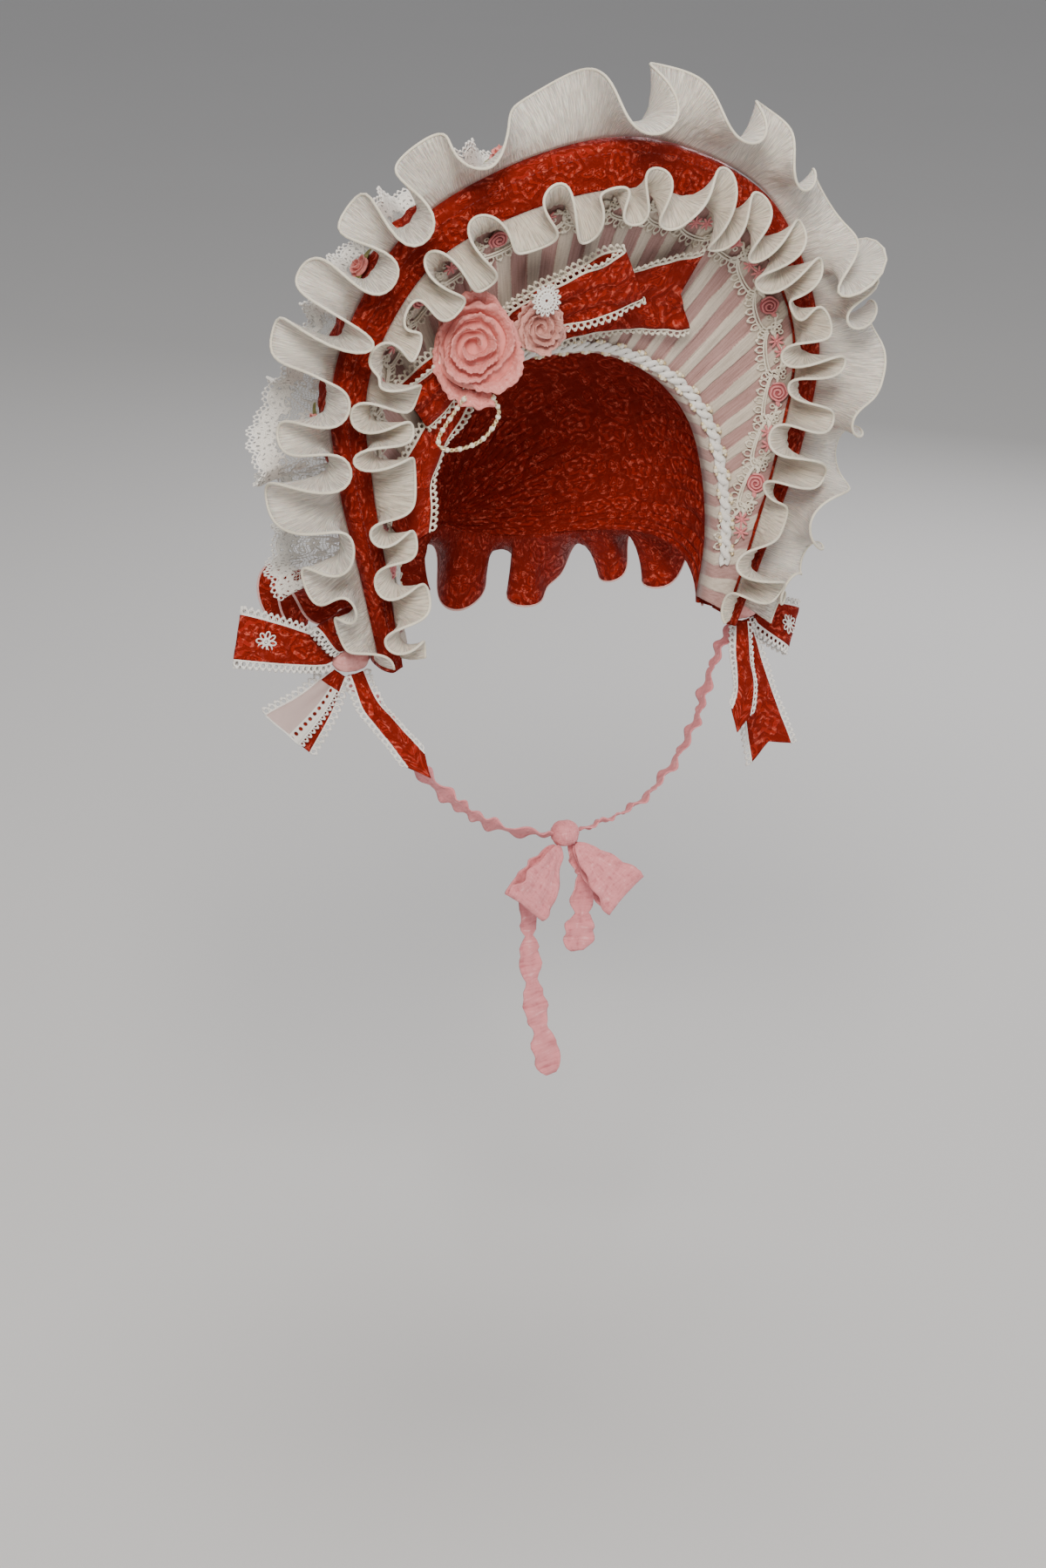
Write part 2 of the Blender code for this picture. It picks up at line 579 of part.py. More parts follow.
def make_tail(tail, knot, radii, collection, finish=BROCADE, wave=0.0, toward=FACE_WAY):
    """A flat ribbon end with a notch, or with a point where the notch is negative."""
    _, start = leave_knot(knot, radii, tail.points[0])
    route = np.vstack((start, tail.points))
    knots = np.linspace(0.0, 1.0, len(route))
    at = np.linspace(0.0, 1.0, 3 * len(tail.points) + 2)
    centre = smooth_curve(knots, route, at)
    along = unit(np.gradient(centre, axis=0))
    front = unit(np.asarray(toward, float) - along * (along @ np.asarray(toward, float))[:, None])
    across = np.cross(along, front)
    width = tail.width_start + (tail.width_end - tail.width_start) * at
    ripple = wave * np.sin(at * 4.0 * math.pi)
    edges = []
    for side in (-1.0, 0.0, 1.0):
        shift = tail.notch * (abs(side) - 0.5) * at**3
        edges.append(centre + across * (width * side / 2.0)[:, None] + along * shift[:, None]
                     + front * (ripple * side)[:, None])
    sheet(tail.name, np.stack(edges, axis=1), RIBBON_WALL, finish, collection)


def make_tube(name, route, radius, finish, collection):
    """A round string along a smooth route."""
    knots = np.linspace(0.0, 1.0, len(route))
    points = smooth_curve(knots, route, np.linspace(0.0, 1.0, 4 * len(route))) * MM
    data = bpy.data.curves.new(name, "CURVE")
    data.dimensions = "3D"
    spline = data.splines.new("POLY")
    spline.points.add(len(points) - 1)
    for target, point in zip(spline.points, points):
        target.co = (*point, 1.0)
    data.bevel_depth = radius * MM
    data.bevel_resolution = 1
    data.use_fill_caps = True
    return link(bpy.data.objects.new(name, data), collection, finish)


def make_brim_bow(collection):
    """Bow with its roses, crochet leaf and string of beads."""
    round_solid("bow_knot", BOW_CENTRE, BOW_KNOT_RADII, UP, KNOT_FACETS, BROCADE, collection)
    for loop in BOW_LOOPS:
        make_loop(loop, BOW_CENTRE, BOW_KNOT_RADII, collection, toward=BOW_FACING)
    for tail in BOW_TAILS:
        make_tail(tail, BOW_CENTRE, BOW_KNOT_RADII, collection, toward=BOW_FACING)
    for rose in ROSES:
        radii = (rose.radius, rose.radius, rose.depth)
        round_solid(rose.name, rose.centre, radii, rose.facing, ROSE_FACETS, PINK, collection,
                    rose_shape(rose.petals))
    round_solid("crochet_leaf", CROCHET_CENTRE, (CROCHET_RADIUS, CROCHET_RADIUS, CROCHET_WALL),
                FACE_WAY, LEAF_FACETS, LACE, collection)
    make_tube("bead_loop", BEAD_LOOP_ROUTE, BEAD_RADIUS, BEADS, collection)


def make_ribbon_roses(collection):
    """Little roses with leaves on the outside of the brim."""
    for number, place in enumerate(RIBBON_ROSES, start=1):
        u = np.array([place])
        _, outward, _, _ = brim_frame(u)
        depth = RIBBON_ROSE_RADIUS * RIBBON_ROSE_FLATNESS
        centre = brim_point(u, BRIM_ROWS[4].out + depth, BRIM_ROWS[4].back + RIBBON_ROSE_BACK)
        radii = (RIBBON_ROSE_RADIUS, RIBBON_ROSE_RADIUS, depth)
        round_solid("ribbon_rose_" + str(number), centre[0], radii, outward[0], SMALL_FACETS, PINK,
                    collection, leafy_shape)


def side_knot(side):
    """Centre of a side bow's knot, on the outside of the brim's lower end."""
    u = np.array([SIDE_KNOT_U if side == "right" else -SIDE_KNOT_U])
    return brim_point(u, SIDE_KNOT_OUT, SIDE_KNOT_BACK)[0]


def make_side_bows(collection):
    """A bow on the outside of each lower end of the brim."""
    for side in ("left", "right"):
        knot = side_knot(side)
        round_solid("side_bow_" + side + "_knot", knot, SIDE_KNOT_RADII, UP, KNOT_FACETS, PINK,
                    collection)
        for loop in SIDE_LOOPS[side]:
            make_loop(loop, knot, SIDE_KNOT_RADII, collection, toward=SIDE_BOW_FACING)
        for tail in SIDE_TAILS[side]:
            make_tail(tail, knot, SIDE_KNOT_RADII, collection)


def make_ties(collection):
    """Chin ties as one loop with a bow at the throat and two hanging ends."""
    knots = np.linspace(0.0, 1.0, len(TIE_ROUTE))
    centre = smooth_curve(knots, TIE_ROUTE, np.linspace(0.0, 1.0, TIE_POINTS))
    along = unit(np.gradient(centre, axis=0))
    away = unit((centre - np.array(NECK_CENTRE)) * np.array(NECK_SHARE))
    away = unit(away - along * np.sum(away * along, axis=1, keepdims=True))
    across = np.cross(along, away)
    right = np.stack([centre + across * (TIE_WIDTH * side) for side in (-0.5, 0.5)], axis=1)
    left = right * np.array((-1.0, 1.0, 1.0))
    shift = np.linspace(0.0, 1.0, len(centre)) ** 2
    left[:, :, 0] += (2.0 * CHIN_KNOT[0] * shift)[:, None]
    sheet("tie_right", right, RIBBON_WALL, DUSTY_PINK, collection)
    sheet("tie_left", left, RIBBON_WALL, DUSTY_PINK, collection)
    round_solid("chin_knot", CHIN_KNOT, CHIN_KNOT_RADII, UP, KNOT_FACETS, DUSTY_PINK, collection)
    for loop in CHIN_LOOPS:
        make_loop(loop, CHIN_KNOT, CHIN_KNOT_RADII, collection, DUSTY_PINK)
    for tail in CHIN_TAILS:
        make_tail(tail, CHIN_KNOT, CHIN_KNOT_RADII, collection, DUSTY_PINK, PETAL_WAVE)


def main():
    """Build every piece of the bonnet."""
    clear_scene()
    collection = bpy.data.collections.new("ruffled_bonnet")
    bpy.context.scene.collection.children.link(collection)
    make_brim(collection)
    make_lining(collection)
    make_crown(collection)
    make_rim_ruffles(collection)
    make_back_lace(collection)
    make_bavolet(collection)
    make_trims(collection)
    make_brim_bow(collection)
    make_ribbon_roses(collection)
    make_side_bows(collection)
    make_ties(collection)


main()
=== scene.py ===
"""Dress the ruffled bonnet: brocade, pleats, ruffles, lace, ribbon, roses and beads.

Lengths below are in millimetres unless a name says otherwise, and become metres when a mesh is
made.  The origin is where the inside of the crown rests on top of the head, +Z is up and the face
looks along -Y.  The brim is described by u, from -1 at the lower end on the -X side, over the top
at 0, to +1 at the lower end on the +X side.
"""

import logging
import math
from collections.abc import Callable, Sequence
from dataclasses import dataclass
from enum import Enum
from typing import NamedTuple

import bpy
import numpy as np
from mathutils import Matrix, Vector


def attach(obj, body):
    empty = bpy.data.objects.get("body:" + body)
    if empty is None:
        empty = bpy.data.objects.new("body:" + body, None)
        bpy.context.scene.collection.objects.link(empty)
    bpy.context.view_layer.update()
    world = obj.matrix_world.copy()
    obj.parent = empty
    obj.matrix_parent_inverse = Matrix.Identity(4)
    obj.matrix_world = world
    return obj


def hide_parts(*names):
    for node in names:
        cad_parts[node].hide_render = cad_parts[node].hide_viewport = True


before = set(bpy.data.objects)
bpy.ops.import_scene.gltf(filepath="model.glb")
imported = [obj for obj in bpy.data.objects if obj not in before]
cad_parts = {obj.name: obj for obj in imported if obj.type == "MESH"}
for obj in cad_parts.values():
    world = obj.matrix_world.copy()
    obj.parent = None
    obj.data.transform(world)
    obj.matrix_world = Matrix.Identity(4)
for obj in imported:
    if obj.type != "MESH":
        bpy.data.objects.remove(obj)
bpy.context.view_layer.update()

LOG = logging.getLogger("bonnet")
MM = 0.001
CM = 0.1
TAU = 2.0 * math.pi
UP = np.array((0.0, 0.0, 1.0))
FACE_WAY = np.array((0.0, -1.0, 0.0))
GAP = 0.35

Array = np.ndarray
Point = tuple[float, float, float]
Colour = Point
Material = bpy.types.Material


# Arithmetic on curves and vectors

def unit(vectors: Array) -> Array:
    """Vectors of length one along the last axis."""
    return vectors / np.maximum(np.linalg.norm(vectors, axis=-1, keepdims=True), 1e-9)


def smooth_curve(knots: Sequence[float], values: Sequence, at: Array) -> Array:
    """Cubic through values at knots, its slopes taken from the neighbouring knots.

    Args:
        knots: Where the values are given, rising.
        values: One row of numbers for each knot.
        at: Where the curve is read.

    Returns:
        One row for each place in at.
    """
    knots, values = np.asarray(knots, float), np.asarray(values, float)
    if values.ndim == 1:
        return smooth_curve(knots, values[:, None], at)[:, 0]
    slopes = np.gradient(values, knots, axis=0)
    at = np.clip(np.asarray(at, float), knots[0], knots[-1])
    left = np.clip(np.searchsorted(knots, at, side="right") - 1, 0, len(knots) - 2)
    span = (knots[left + 1] - knots[left])[:, None]
    s = (at - knots[left])[:, None] / span
    return ((2 * s**3 - 3 * s**2 + 1) * values[left] + (s**3 - 2 * s**2 + s) * span * slopes[left]
            + (3 * s**2 - 2 * s**3) * values[left + 1] + (s**3 - s**2) * span * slopes[left + 1])


def smooth_step(value: Array, low: float, high: float) -> Array:
    """Zero below low, one above high, with a smooth rise between."""
    share = np.clip((value - low) / (high - low), 0.0, 1.0)
    return share * share * (3.0 - 2.0 * share)


def run_length(path: Array) -> Array:
    """Distance along a path at each of its points."""
    return np.concatenate(([0.0], np.cumsum(np.linalg.norm(np.diff(path, axis=0), axis=1))))


def stacked(*parts: Array | float) -> Array:
    """Arrays and numbers, broadcast together, as the components along a new last axis."""
    return np.stack(np.broadcast_arrays(*parts), axis=-1)


def read_at(values: Array, run: Array, at: Array) -> Array:
    """Rows of values that belong to the distances in run, read at other distances."""
    return np.stack([np.interp(at, run, column) for column in values.T], axis=-1)


def even_path(path: Array, count: int) -> Array:
    """The same path with evenly spaced points."""
    run = run_length(path)
    return read_at(path, run, np.linspace(0.0, run[-1], count))


def through(points: Sequence, count: int) -> Array:
    """A smooth curve through points, with as many points of its own as count says."""
    return smooth_curve(np.linspace(0.0, 1.0, len(points)), points, np.linspace(0.0, 1.0, count))


def circle(count: int) -> Array:
    """Points of a ring of radius one about z."""
    turn = np.linspace(0.0, TAU, count, endpoint=False)
    return stacked(np.cos(turn), np.sin(turn), 0.0)


def heading(path: Array) -> Array:
    """The way along a path at each of its points."""
    return unit(np.gradient(path, axis=0))


def square_to(vectors: Array, way: Array) -> Array:
    """Vectors of length one, after what runs along a way is taken from them."""
    return unit(vectors - way * np.sum(vectors * way, axis=-1, keepdims=True))


def standing(edge: Array, out: Array) -> Array:
    """The way square to the cloth at its edge, from the way out of the cloth there."""
    return unit(np.cross(np.gradient(edge, axis=0), out))


def ripple(points: Array, size: float, seed: int, waves: int = 9) -> Array:
    """Smooth unevenness between about -1 and 1: a sum of waves in random directions.

    Args:
        points: Places in millimetres, along the last axis.
        size: Usual distance between two crests.
        seed: Sets the directions, so that each run gives the same shape.
        waves: How many waves are added.

    Returns:
        One number for each place.
    """
    rng = np.random.default_rng(seed)
    ways = unit(rng.normal(size=(waves, points.shape[-1]))) * TAU / size
    ways *= rng.uniform(0.6, 1.5, size=(waves, 1))
    return np.sin(points @ ways.T + rng.uniform(0, TAU, waves)).sum(axis=-1) / math.sqrt(waves * 1.2)


# Meshes

@dataclass
class Patch:
    """A surface in the making: points in millimetres, four-sided faces and a place on the cloth."""

    points: Array
    faces: Array
    cloth: Array

    def moved(self, offset: Sequence[float]) -> "Patch":
        """The same patch at another place."""
        return Patch(self.points + np.asarray(offset), self.faces, self.cloth)

    def facing_out(self) -> "Patch":
        """A closed patch with its faces turned outwards, judged by its signed volume."""
        a, b, c, d = (self.points[self.faces[:, corner]] for corner in range(4))
        volume = np.einsum("ij,ij->", a, np.cross(b, c)) + np.einsum("ij,ij->", a, np.cross(c, d))
        return self if volume >= 0.0 else Patch(self.points, self.faces[:, ::-1], self.cloth)


def join(patches: Sequence[Patch]) -> Patch:
    """Several patches as one."""
    starts = np.cumsum([0] + [len(patch.points) for patch in patches[:-1]])
    return Patch(np.vstack([patch.points for patch in patches]),
                 np.vstack([patch.faces + start for patch, start in zip(patches, starts)]),
                 np.vstack([patch.cloth for patch in patches]))


def loft(grid: Array, cloth: Array | None = None, closed: bool = False) -> Patch:
    """A surface through a grid of points.

    Args:
        grid: Points by row and column.
        cloth: Place on the cloth of each point, in centimetres; worked out if not given.
        closed: Whether the last column meets the first.

    Returns:
        The patch.
    """
    rows, columns = grid.shape[:2]
    if cloth is None:
        down = run_length(grid[:, columns // 2])
        across = run_length(grid[rows // 2])
        cloth = stacked(down[:, None], across) * CM
    index = np.arange(rows * columns).reshape(rows, columns)
    if closed:
        index = np.hstack((index, index[:, :1]))
    corners = (index[:-1, :-1], index[1:, :-1], index[1:, 1:], index[:-1, 1:])
    faces = np.stack(corners, axis=-1).reshape(-1, 4)
    return Patch(grid.reshape(-1, 3), faces, cloth.reshape(-1, 2))


def tubes(paths: Array, normals: Array, radius: float | Array, sides: int = 6,
          closed: bool = False, flatness: float = 1.0) -> Patch:
    """Round strings along several paths at once, each point of a ring at an angle round the path.

    Args:
        paths: Points by string and place, in millimetres.
        normals: A way across each string at each place, which the flat side of it faces.
        radius: One radius, or one for each string and place.
        sides: Even number of sides.
        closed: Whether each string is a ring.
        flatness: Thickness along the normal as a share of the width.

    Returns:
        One patch with all the strings, capped at their ends where they are open.
    """
    if closed:
        along = unit(np.roll(paths, -1, axis=1) - np.roll(paths, 1, axis=1))
    else:
        along = unit(np.gradient(paths, axis=1))
    side = unit(np.cross(along, np.broadcast_to(normals, paths.shape)))
    normal = np.cross(side, along)
    turn = np.arange(sides) * TAU / sides
    reach = np.broadcast_to(np.asarray(radius, float), paths.shape[:2])[..., None, None]
    ring = (np.cos(turn)[:, None] * side[:, :, None] + flatness * np.sin(turn)[:, None] * normal[:, :, None])
    points = paths[:, :, None] + reach * ring
    strings, places = paths.shape[:2]
    index = np.arange(strings * places * sides).reshape(strings, places, sides)
    rings = np.concatenate((index, index[:, :1]), axis=1) if closed else index
    wrapped = np.concatenate((rings, rings[:, :, :1]), axis=2)
    walls = np.stack((wrapped[:, :-1, :-1], wrapped[:, 1:, :-1], wrapped[:, 1:, 1:], wrapped[:, :-1, 1:]), -1)
    faces = [walls.reshape(-1, 4)]
    if not closed:
        for low in range(sides // 2 - 1):
            corners = [low, low + 1, sides - 2 - low, sides - 1 - low]
            faces.append(index[:, 0][:, corners])
            faces.append(index[:, -1][:, corners[::-1]])
    run = np.cumsum(np.linalg.norm(np.diff(paths, axis=1, prepend=paths[:, :1]), axis=2), axis=1)
    cloth = stacked(run[:, :, None] * CM, turn / TAU)
    return Patch(points.reshape(-1, 3), np.vstack(faces), cloth.reshape(-1, 2)).facing_out()


def tube(path: Array, normals: Array, radius: float | Array, **how) -> Patch:
    """One round string along a path."""
    return tubes(path[None], np.broadcast_to(normals, path.shape)[None], radius, **how)


def ball(steps: int = 3) -> Patch:
    """A round bead of radius one: a cube's faces cut into a grid and pushed out to the sphere."""
    line = np.tan(np.linspace(-math.pi / 4, math.pi / 4, steps + 1))
    a, b = np.meshgrid(line, line, indexing="ij")
    one = np.ones_like(a)
    sides = [(one, a, b), (-one, b, a), (b, one, a), (a, -one, b), (a, b, one), (b, a, -one)]
    points = unit(np.concatenate([np.stack(side, axis=-1).reshape(-1, 3) for side in sides]))
    index = np.arange((steps + 1) ** 2).reshape(steps + 1, steps + 1)
    quads = np.stack((index[:-1, :-1], index[1:, :-1], index[1:, 1:], index[:-1, 1:]), -1).reshape(-1, 4)
    faces = np.concatenate([quads + number * (steps + 1) ** 2 for number in range(6)])
    keys, first, owner = np.unique(np.round(points, 5), axis=0, return_index=True, return_inverse=True)
    cloth = keys[:, :2] * 0.5 + 0.5
    return Patch(points[first], owner.reshape(-1)[faces], cloth).facing_out()


def repeat(shape: Patch, places: Array, axes: Array = np.eye(3), scale: float = 1.0) -> Patch:
    """Copies of a small shape.

    Args:
        shape: The shape about its own origin.
        places: Where each copy goes.
        axes: The ways that the shape's x, y and z point, as rows, once or for each copy.
        scale: Size of the copies.

    Returns:
        All copies as one patch.
    """
    count, size = len(places), len(shape.points)
    axes = np.broadcast_to(axes, (count, 3, 3))
    points = places[:, None] + np.einsum("nk,cki->cni", shape.points, axes) * scale
    faces = shape.faces[None] + (np.arange(count) * size)[:, None, None]
    shift = np.random.default_rng(count).uniform(0.0, 9.0, size=(count, 1, 2))
    cloth = shape.cloth[None] + shift
    return Patch(points.reshape(-1, 3), faces.reshape(-1, 4), cloth.reshape(-1, 2))


class Slot(Enum):
    """Names of material slots."""

    BROCADE = "brocade"
    CHIFFON = "chiffon"
    LINING = "pleated_lining"
    LACE = "lace"
    ROSE = "rose_ribbon"
    SATIN = "pink_satin"
    PETAL = "petal_ribbon"
    BEADS = "beads"


def sew(name: str, patch: Patch, finish: Material, nodes: Sequence[str] = (),
        wall: float = 0.0, offset: float = 0.0) -> bpy.types.Object:
    """Make a piece from a patch, on the bonnet's one body.

    Args:
        name: The piece's name.
        patch: Its surface.
        finish: Its material.
        nodes: The solids that the piece stands for.
        wall: Cloth thickness, or 0 for a closed patch.
        offset: Where the wall grows, from -1 behind the surface to 1 in front.

    Returns:
        The piece.
    """
    mesh = bpy.data.meshes.new(name)
    mesh.vertices.add(len(patch.points))
    mesh.vertices.foreach_set("co", (patch.points * MM).astype(np.float32).ravel())
    mesh.loops.add(patch.faces.size)
    mesh.loops.foreach_set("vertex_index", patch.faces.astype(np.int32).ravel())
    mesh.polygons.add(len(patch.faces))
    mesh.polygons.foreach_set("loop_start", np.arange(0, patch.faces.size, 4, dtype=np.int32))
    mesh.update(calc_edges=True)
    cloth = mesh.uv_layers.new(name="cloth")
    cloth.data.foreach_set("uv", patch.cloth[patch.faces.ravel()].astype(np.float32).ravel())
    mesh.shade_smooth()
    mesh.materials.append(finish)
    mesh.validate()
    piece = bpy.data.objects.new(name, mesh)
    bpy.context.scene.collection.objects.link(piece)
    if wall:
        modifier = piece.modifiers.new("cloth wall", "SOLIDIFY")
        modifier.thickness = wall * MM
        modifier.offset = offset
        modifier.use_even_offset = False
    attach(piece, "root")
    if nodes:
        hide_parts(*nodes)
    LOG.info("%s: %d faces", name, len(patch.faces))
    return piece


def cut_of(piece: bpy.types.Object, grid: Array) -> None:
    """Log the flat size of a piece that is a sheet of cloth.

    Its flat size is the mean length of the grid's rows by the mean length of its columns, both
    measured along the cloth.
    """
    def mean_run(points: Array) -> float:
        return float(np.linalg.norm(np.diff(points, axis=1), axis=2).sum(axis=1).mean()) * MM

    width, length = sorted((mean_run(grid), mean_run(grid.transpose(1, 0, 2))))
    LOG.info("%s: flat %.0f by %.0f mm", piece.name, width / MM, length / MM)


# Shader arithmetic

def math_method(operation: str, swapped: bool = False) -> Callable[..., "Signal"]:
    """A method of Signal that adds one Math node.

    Args:
        operation: Blender's name for what the node does.
        swapped: Whether the signal itself is the node's second value.

    Returns:
        The method.
    """
    def method(self: "Signal", *others: "Signal | float") -> "Signal":
        """The operation on this signal and the other value, where it takes one."""
        return self.loom.math(operation, *((*others, self) if swapped else (self, *others)))
    return method


class Signal:
    """An output of a material's node, on which arithmetic adds Math nodes."""

    __add__ = __radd__ = math_method("ADD")
    __sub__ = math_method("SUBTRACT")
    __rsub__ = math_method("SUBTRACT", swapped=True)
    __mul__ = __rmul__ = math_method("MULTIPLY")
    __truediv__ = math_method("DIVIDE")
    sine = math_method("SINE")
    part = math_method("FRACT")

    def __init__(self, loom: "Loom", socket: bpy.types.NodeSocket) -> None:
        """Hold a socket and the loom that it belongs to."""
        self.loom = loom
        self.socket = socket

    def rise(self, low: float, high: float) -> "Signal":
        """Zero at low, one at high and smooth between; low may be the larger."""
        settings = {"interpolation_type": "SMOOTHSTEP"}
        inputs = {"Value": self, "From Min": low, "From Max": high}
        return self.loom.add("ShaderNodeMapRange", settings, inputs)


class Loom:
    """Builds one material: its nodes, its pattern and its constant values."""

    def __init__(self, name: str) -> None:
        """Start a material with its shader and output alone."""
        self.material = bpy.data.materials.new(name)
        self.material.use_nodes = True
        self.tree = self.material.node_tree
        self.shader = self.tree.nodes["Principled BSDF"]

    def add(self, kind: str, settings: dict | None = None, inputs: dict | None = None,
            output: str | int = 0) -> Signal:
        """Add any node.

        Args:
            kind: Blender's name for the node's type.
            settings: Attributes, set first. A ramp's stops are given under the name stops.
            inputs: Values or signals by socket name or number.
            output: Which of its outputs is wanted.

        Returns:
            That output.
        """
        node = self.tree.nodes.new(kind)
        for name, value in (settings or {}).items():
            if name == "stops":
                self._set_stops(node.color_ramp, value)
            else:
                setattr(node, name, value)
        for name, value in (inputs or {}).items():
            if isinstance(value, Signal):
                self.tree.links.new(value.socket, node.inputs[name])
            else:
                node.inputs[name].default_value = value
        return Signal(self, node.outputs[output])

    @staticmethod
    def _set_stops(ramp: bpy.types.ColorRamp, stops: Sequence[tuple[float, Colour]]) -> None:
        """Give a colour ramp its stops."""
        while len(ramp.elements) < len(stops):
            ramp.elements.new(1.0)
        for element, (place, colour) in zip(ramp.elements, stops):
            element.position = place
            element.color = (*colour, 1.0)

    def math(self, operation: str, *values: "Signal | float") -> Signal:
        """A Math node on signals and numbers."""
        return self.add("ShaderNodeMath", {"operation": operation}, dict(enumerate(values)))

    def cloth(self) -> Signal:
        """Place on the cloth in centimetres, from the piece's own map."""
        return self.add("ShaderNodeUVMap", {"uv_map": "cloth"})

    def solid(self) -> Signal:
        """Place in the piece's own space, in metres."""
        return self.add("ShaderNodeTexCoord", output="Object")

    def parts(self, vector: Signal) -> tuple[Signal, Signal]:
        """First two components of a vector."""
        first = self.add("ShaderNodeSeparateXYZ", inputs={"Vector": vector})
        node = first.socket.node
        return Signal(self, node.outputs["X"]), Signal(self, node.outputs["Y"])

    def stretched(self, vector: Signal, scale: Point, turn: float = 0.0) -> Signal:
        """A vector times a scale, after a turn in its plane."""
        return self.add("ShaderNodeMapping", inputs={
            "Vector": vector, "Scale": scale, "Rotation": (0.0, 0.0, turn)})

    def noise(self, vector: Signal, scale: float = 1.0, detail: float = 2.0,
              roughness: float = 0.5) -> Signal:
        """Cloudy noise between 0 and 1."""
        inputs = {"Vector": vector, "Scale": scale, "Detail": detail, "Roughness": roughness}
        return self.add("ShaderNodeTexNoise", inputs=inputs)

    def streaks(self, vector: Signal, across: float, down: float, detail: float = 2.0,
                roughness: float = 0.5) -> Signal:
        """Noise with its own scale along each way of the cloth."""
        return self.noise(self.stretched(vector, (across, down, 1.0)), 1.0, detail, roughness)

    def cells(self, vector: Signal, size: float, randomness: float) -> tuple[Signal, Signal]:
        """Distance from a cell's centre and angle round it, for cells of that size."""
        inputs = {"Vector": vector, "Scale": 1.0 / size, "Randomness": randomness}
        centre = self.add("ShaderNodeTexVoronoi", {"voronoi_dimensions": "2D"}, inputs, "Position")
        local = self.add("ShaderNodeVectorMath", {"operation": "SUBTRACT"}, {0: vector, 1: centre})
        reach = self.add("ShaderNodeVectorMath", {"operation": "LENGTH"}, {0: local}, "Value")
        x, y = self.parts(local)
        return reach, self.math("ARCTAN2", y, x)

    def bent(self, vector: Signal, scale: float, amount: float) -> Signal:
        """A vector pushed about by noise."""
        cloud = self.add("ShaderNodeTexNoise", inputs={"Vector": vector, "Scale": scale}, output="Color")
        centred = self.add("ShaderNodeVectorMath", {"operation": "SUBTRACT"},
                           {0: cloud, 1: (0.5, 0.5, 0.5)})
        pushed = self.add("ShaderNodeVectorMath", {"operation": "SCALE"}, {0: centred, "Scale": amount})
        return self.add("ShaderNodeVectorMath", {"operation": "ADD"}, {0: vector, 1: pushed})

    def mix(self, share: "Signal | float", first: "Signal | Colour", second: "Signal | Colour") -> Signal:
        """A colour between two."""
        def opened(value: "Signal | Colour") -> "Signal | tuple":
            return value if isinstance(value, Signal) else (*value, 1.0)
        node = self.tree.nodes.new("ShaderNodeMix")
        node.data_type = "RGBA"
        for socket, value in zip((node.inputs[0], node.inputs[6], node.inputs[7]),
                                 (share, opened(first), opened(second))):
            if isinstance(value, Signal):
                self.tree.links.new(value.socket, socket)
            else:
                socket.default_value = value
        return Signal(self, node.outputs[2])

    def bump(self, height: Signal, depth: float) -> Signal:
        """A surface normal from a height between 0 and 1, of that depth in millimetres."""
        return self.add("ShaderNodeBump", inputs={"Height": height, "Strength": 1.0, "Distance": depth * MM})

    def finish(self, varying: dict[str, Signal], constant: dict[str, float | tuple]) -> Material:
        """Set the shader's sockets and give the material.

        Args:
            varying: Signals by socket name.
            constant: Values by socket name.

        Returns:
            The finished material.
        """
        for name, value in constant.items():
            self.shader.inputs[name].default_value = value
        for name, signal in varying.items():
            self.tree.links.new(signal.socket, self.shader.inputs[name])
        return self.material


# Finishes

@dataclass(frozen=True)
class Brocade:
    """Shiny jacquard: satin roses and leaves, raised over a matt ground of the same red."""

    name: str = "red_brocade"
    ground: Colour = (0.195, 0.0105, 0.0065)
    figure: Colour = (0.300, 0.0175, 0.0105)
    # Colour of the painted highlights: glints of light painted on the crinkle's crests
    glint: Colour = (0.62, 0.110, 0.072)
    rose_size: float = 2.9
    leaf_size: float = 1.25
    petals: int = 5

    def make(self) -> Material:
        """Weave it: rings in large cells are the roses, long small cells between them the leaves, and painted
        highlights, the glints, sit on the crinkle's crests.
        """
        loom = Loom(self.name)
        cloth = loom.cloth()
        bent = loom.bent(cloth, 1.1, 0.5)
        roses, turn = loom.cells(bent, self.rose_size, 0.7)
        ring = (roses * 13.0 + (turn * self.petals).sine() * 1.3 + (turn * 2.0).sine() * 1.8).sine()
        inside = roses.rise(self.rose_size * 0.37, self.rose_size * 0.33)
        leaf_cloth = loom.stretched(loom.bent(cloth, 2.1, 0.35), (1.0, 1.9, 1.0), 0.6)
        leaves, vein = loom.cells(leaf_cloth, self.leaf_size, 0.9)
        veins = (leaves * 24.0 + (vein * 3.0).sine() * 1.4).sine().rise(-0.75, -0.35)
        leaf = leaves.rise(self.leaf_size * 0.46, self.leaf_size * 0.40) * veins
        raised = ring.rise(-0.35, 0.05) * inside + leaf * (1.0 - inside)
        threads = loom.streaks(cloth, 3.0, 60.0)
        crinkle = loom.noise(loom.bent(cloth, 4.0, 0.25), 3.0, 4.0, 0.65)
        crumple = loom.noise(cloth, 1.1, 2.0)
        shade = loom.mix(raised, self.ground, self.figure)
        # Painted highlights: the glint colour goes where the crinkle, which also raises the bump, is high,
        # mostly on the satin figures
        painted_glint_colour = loom.mix(crinkle.rise(0.50, 0.64) * (raised * 0.75 + 0.15), shade, self.glint)
        rough = 0.50 - raised * 0.24 + threads * 0.10
        height = raised * 0.14 + threads * 0.05 + crinkle * 0.50 + crumple * 0.31
        return loom.finish({"Base Color": painted_glint_colour, "Roughness": rough, "Normal": loom.bump(height, 3.0)},
                           {"Specular IOR Level": 0.16, "IOR": 1.3, "Specular Tint": (1.0, 0.42, 0.34, 1.0)})


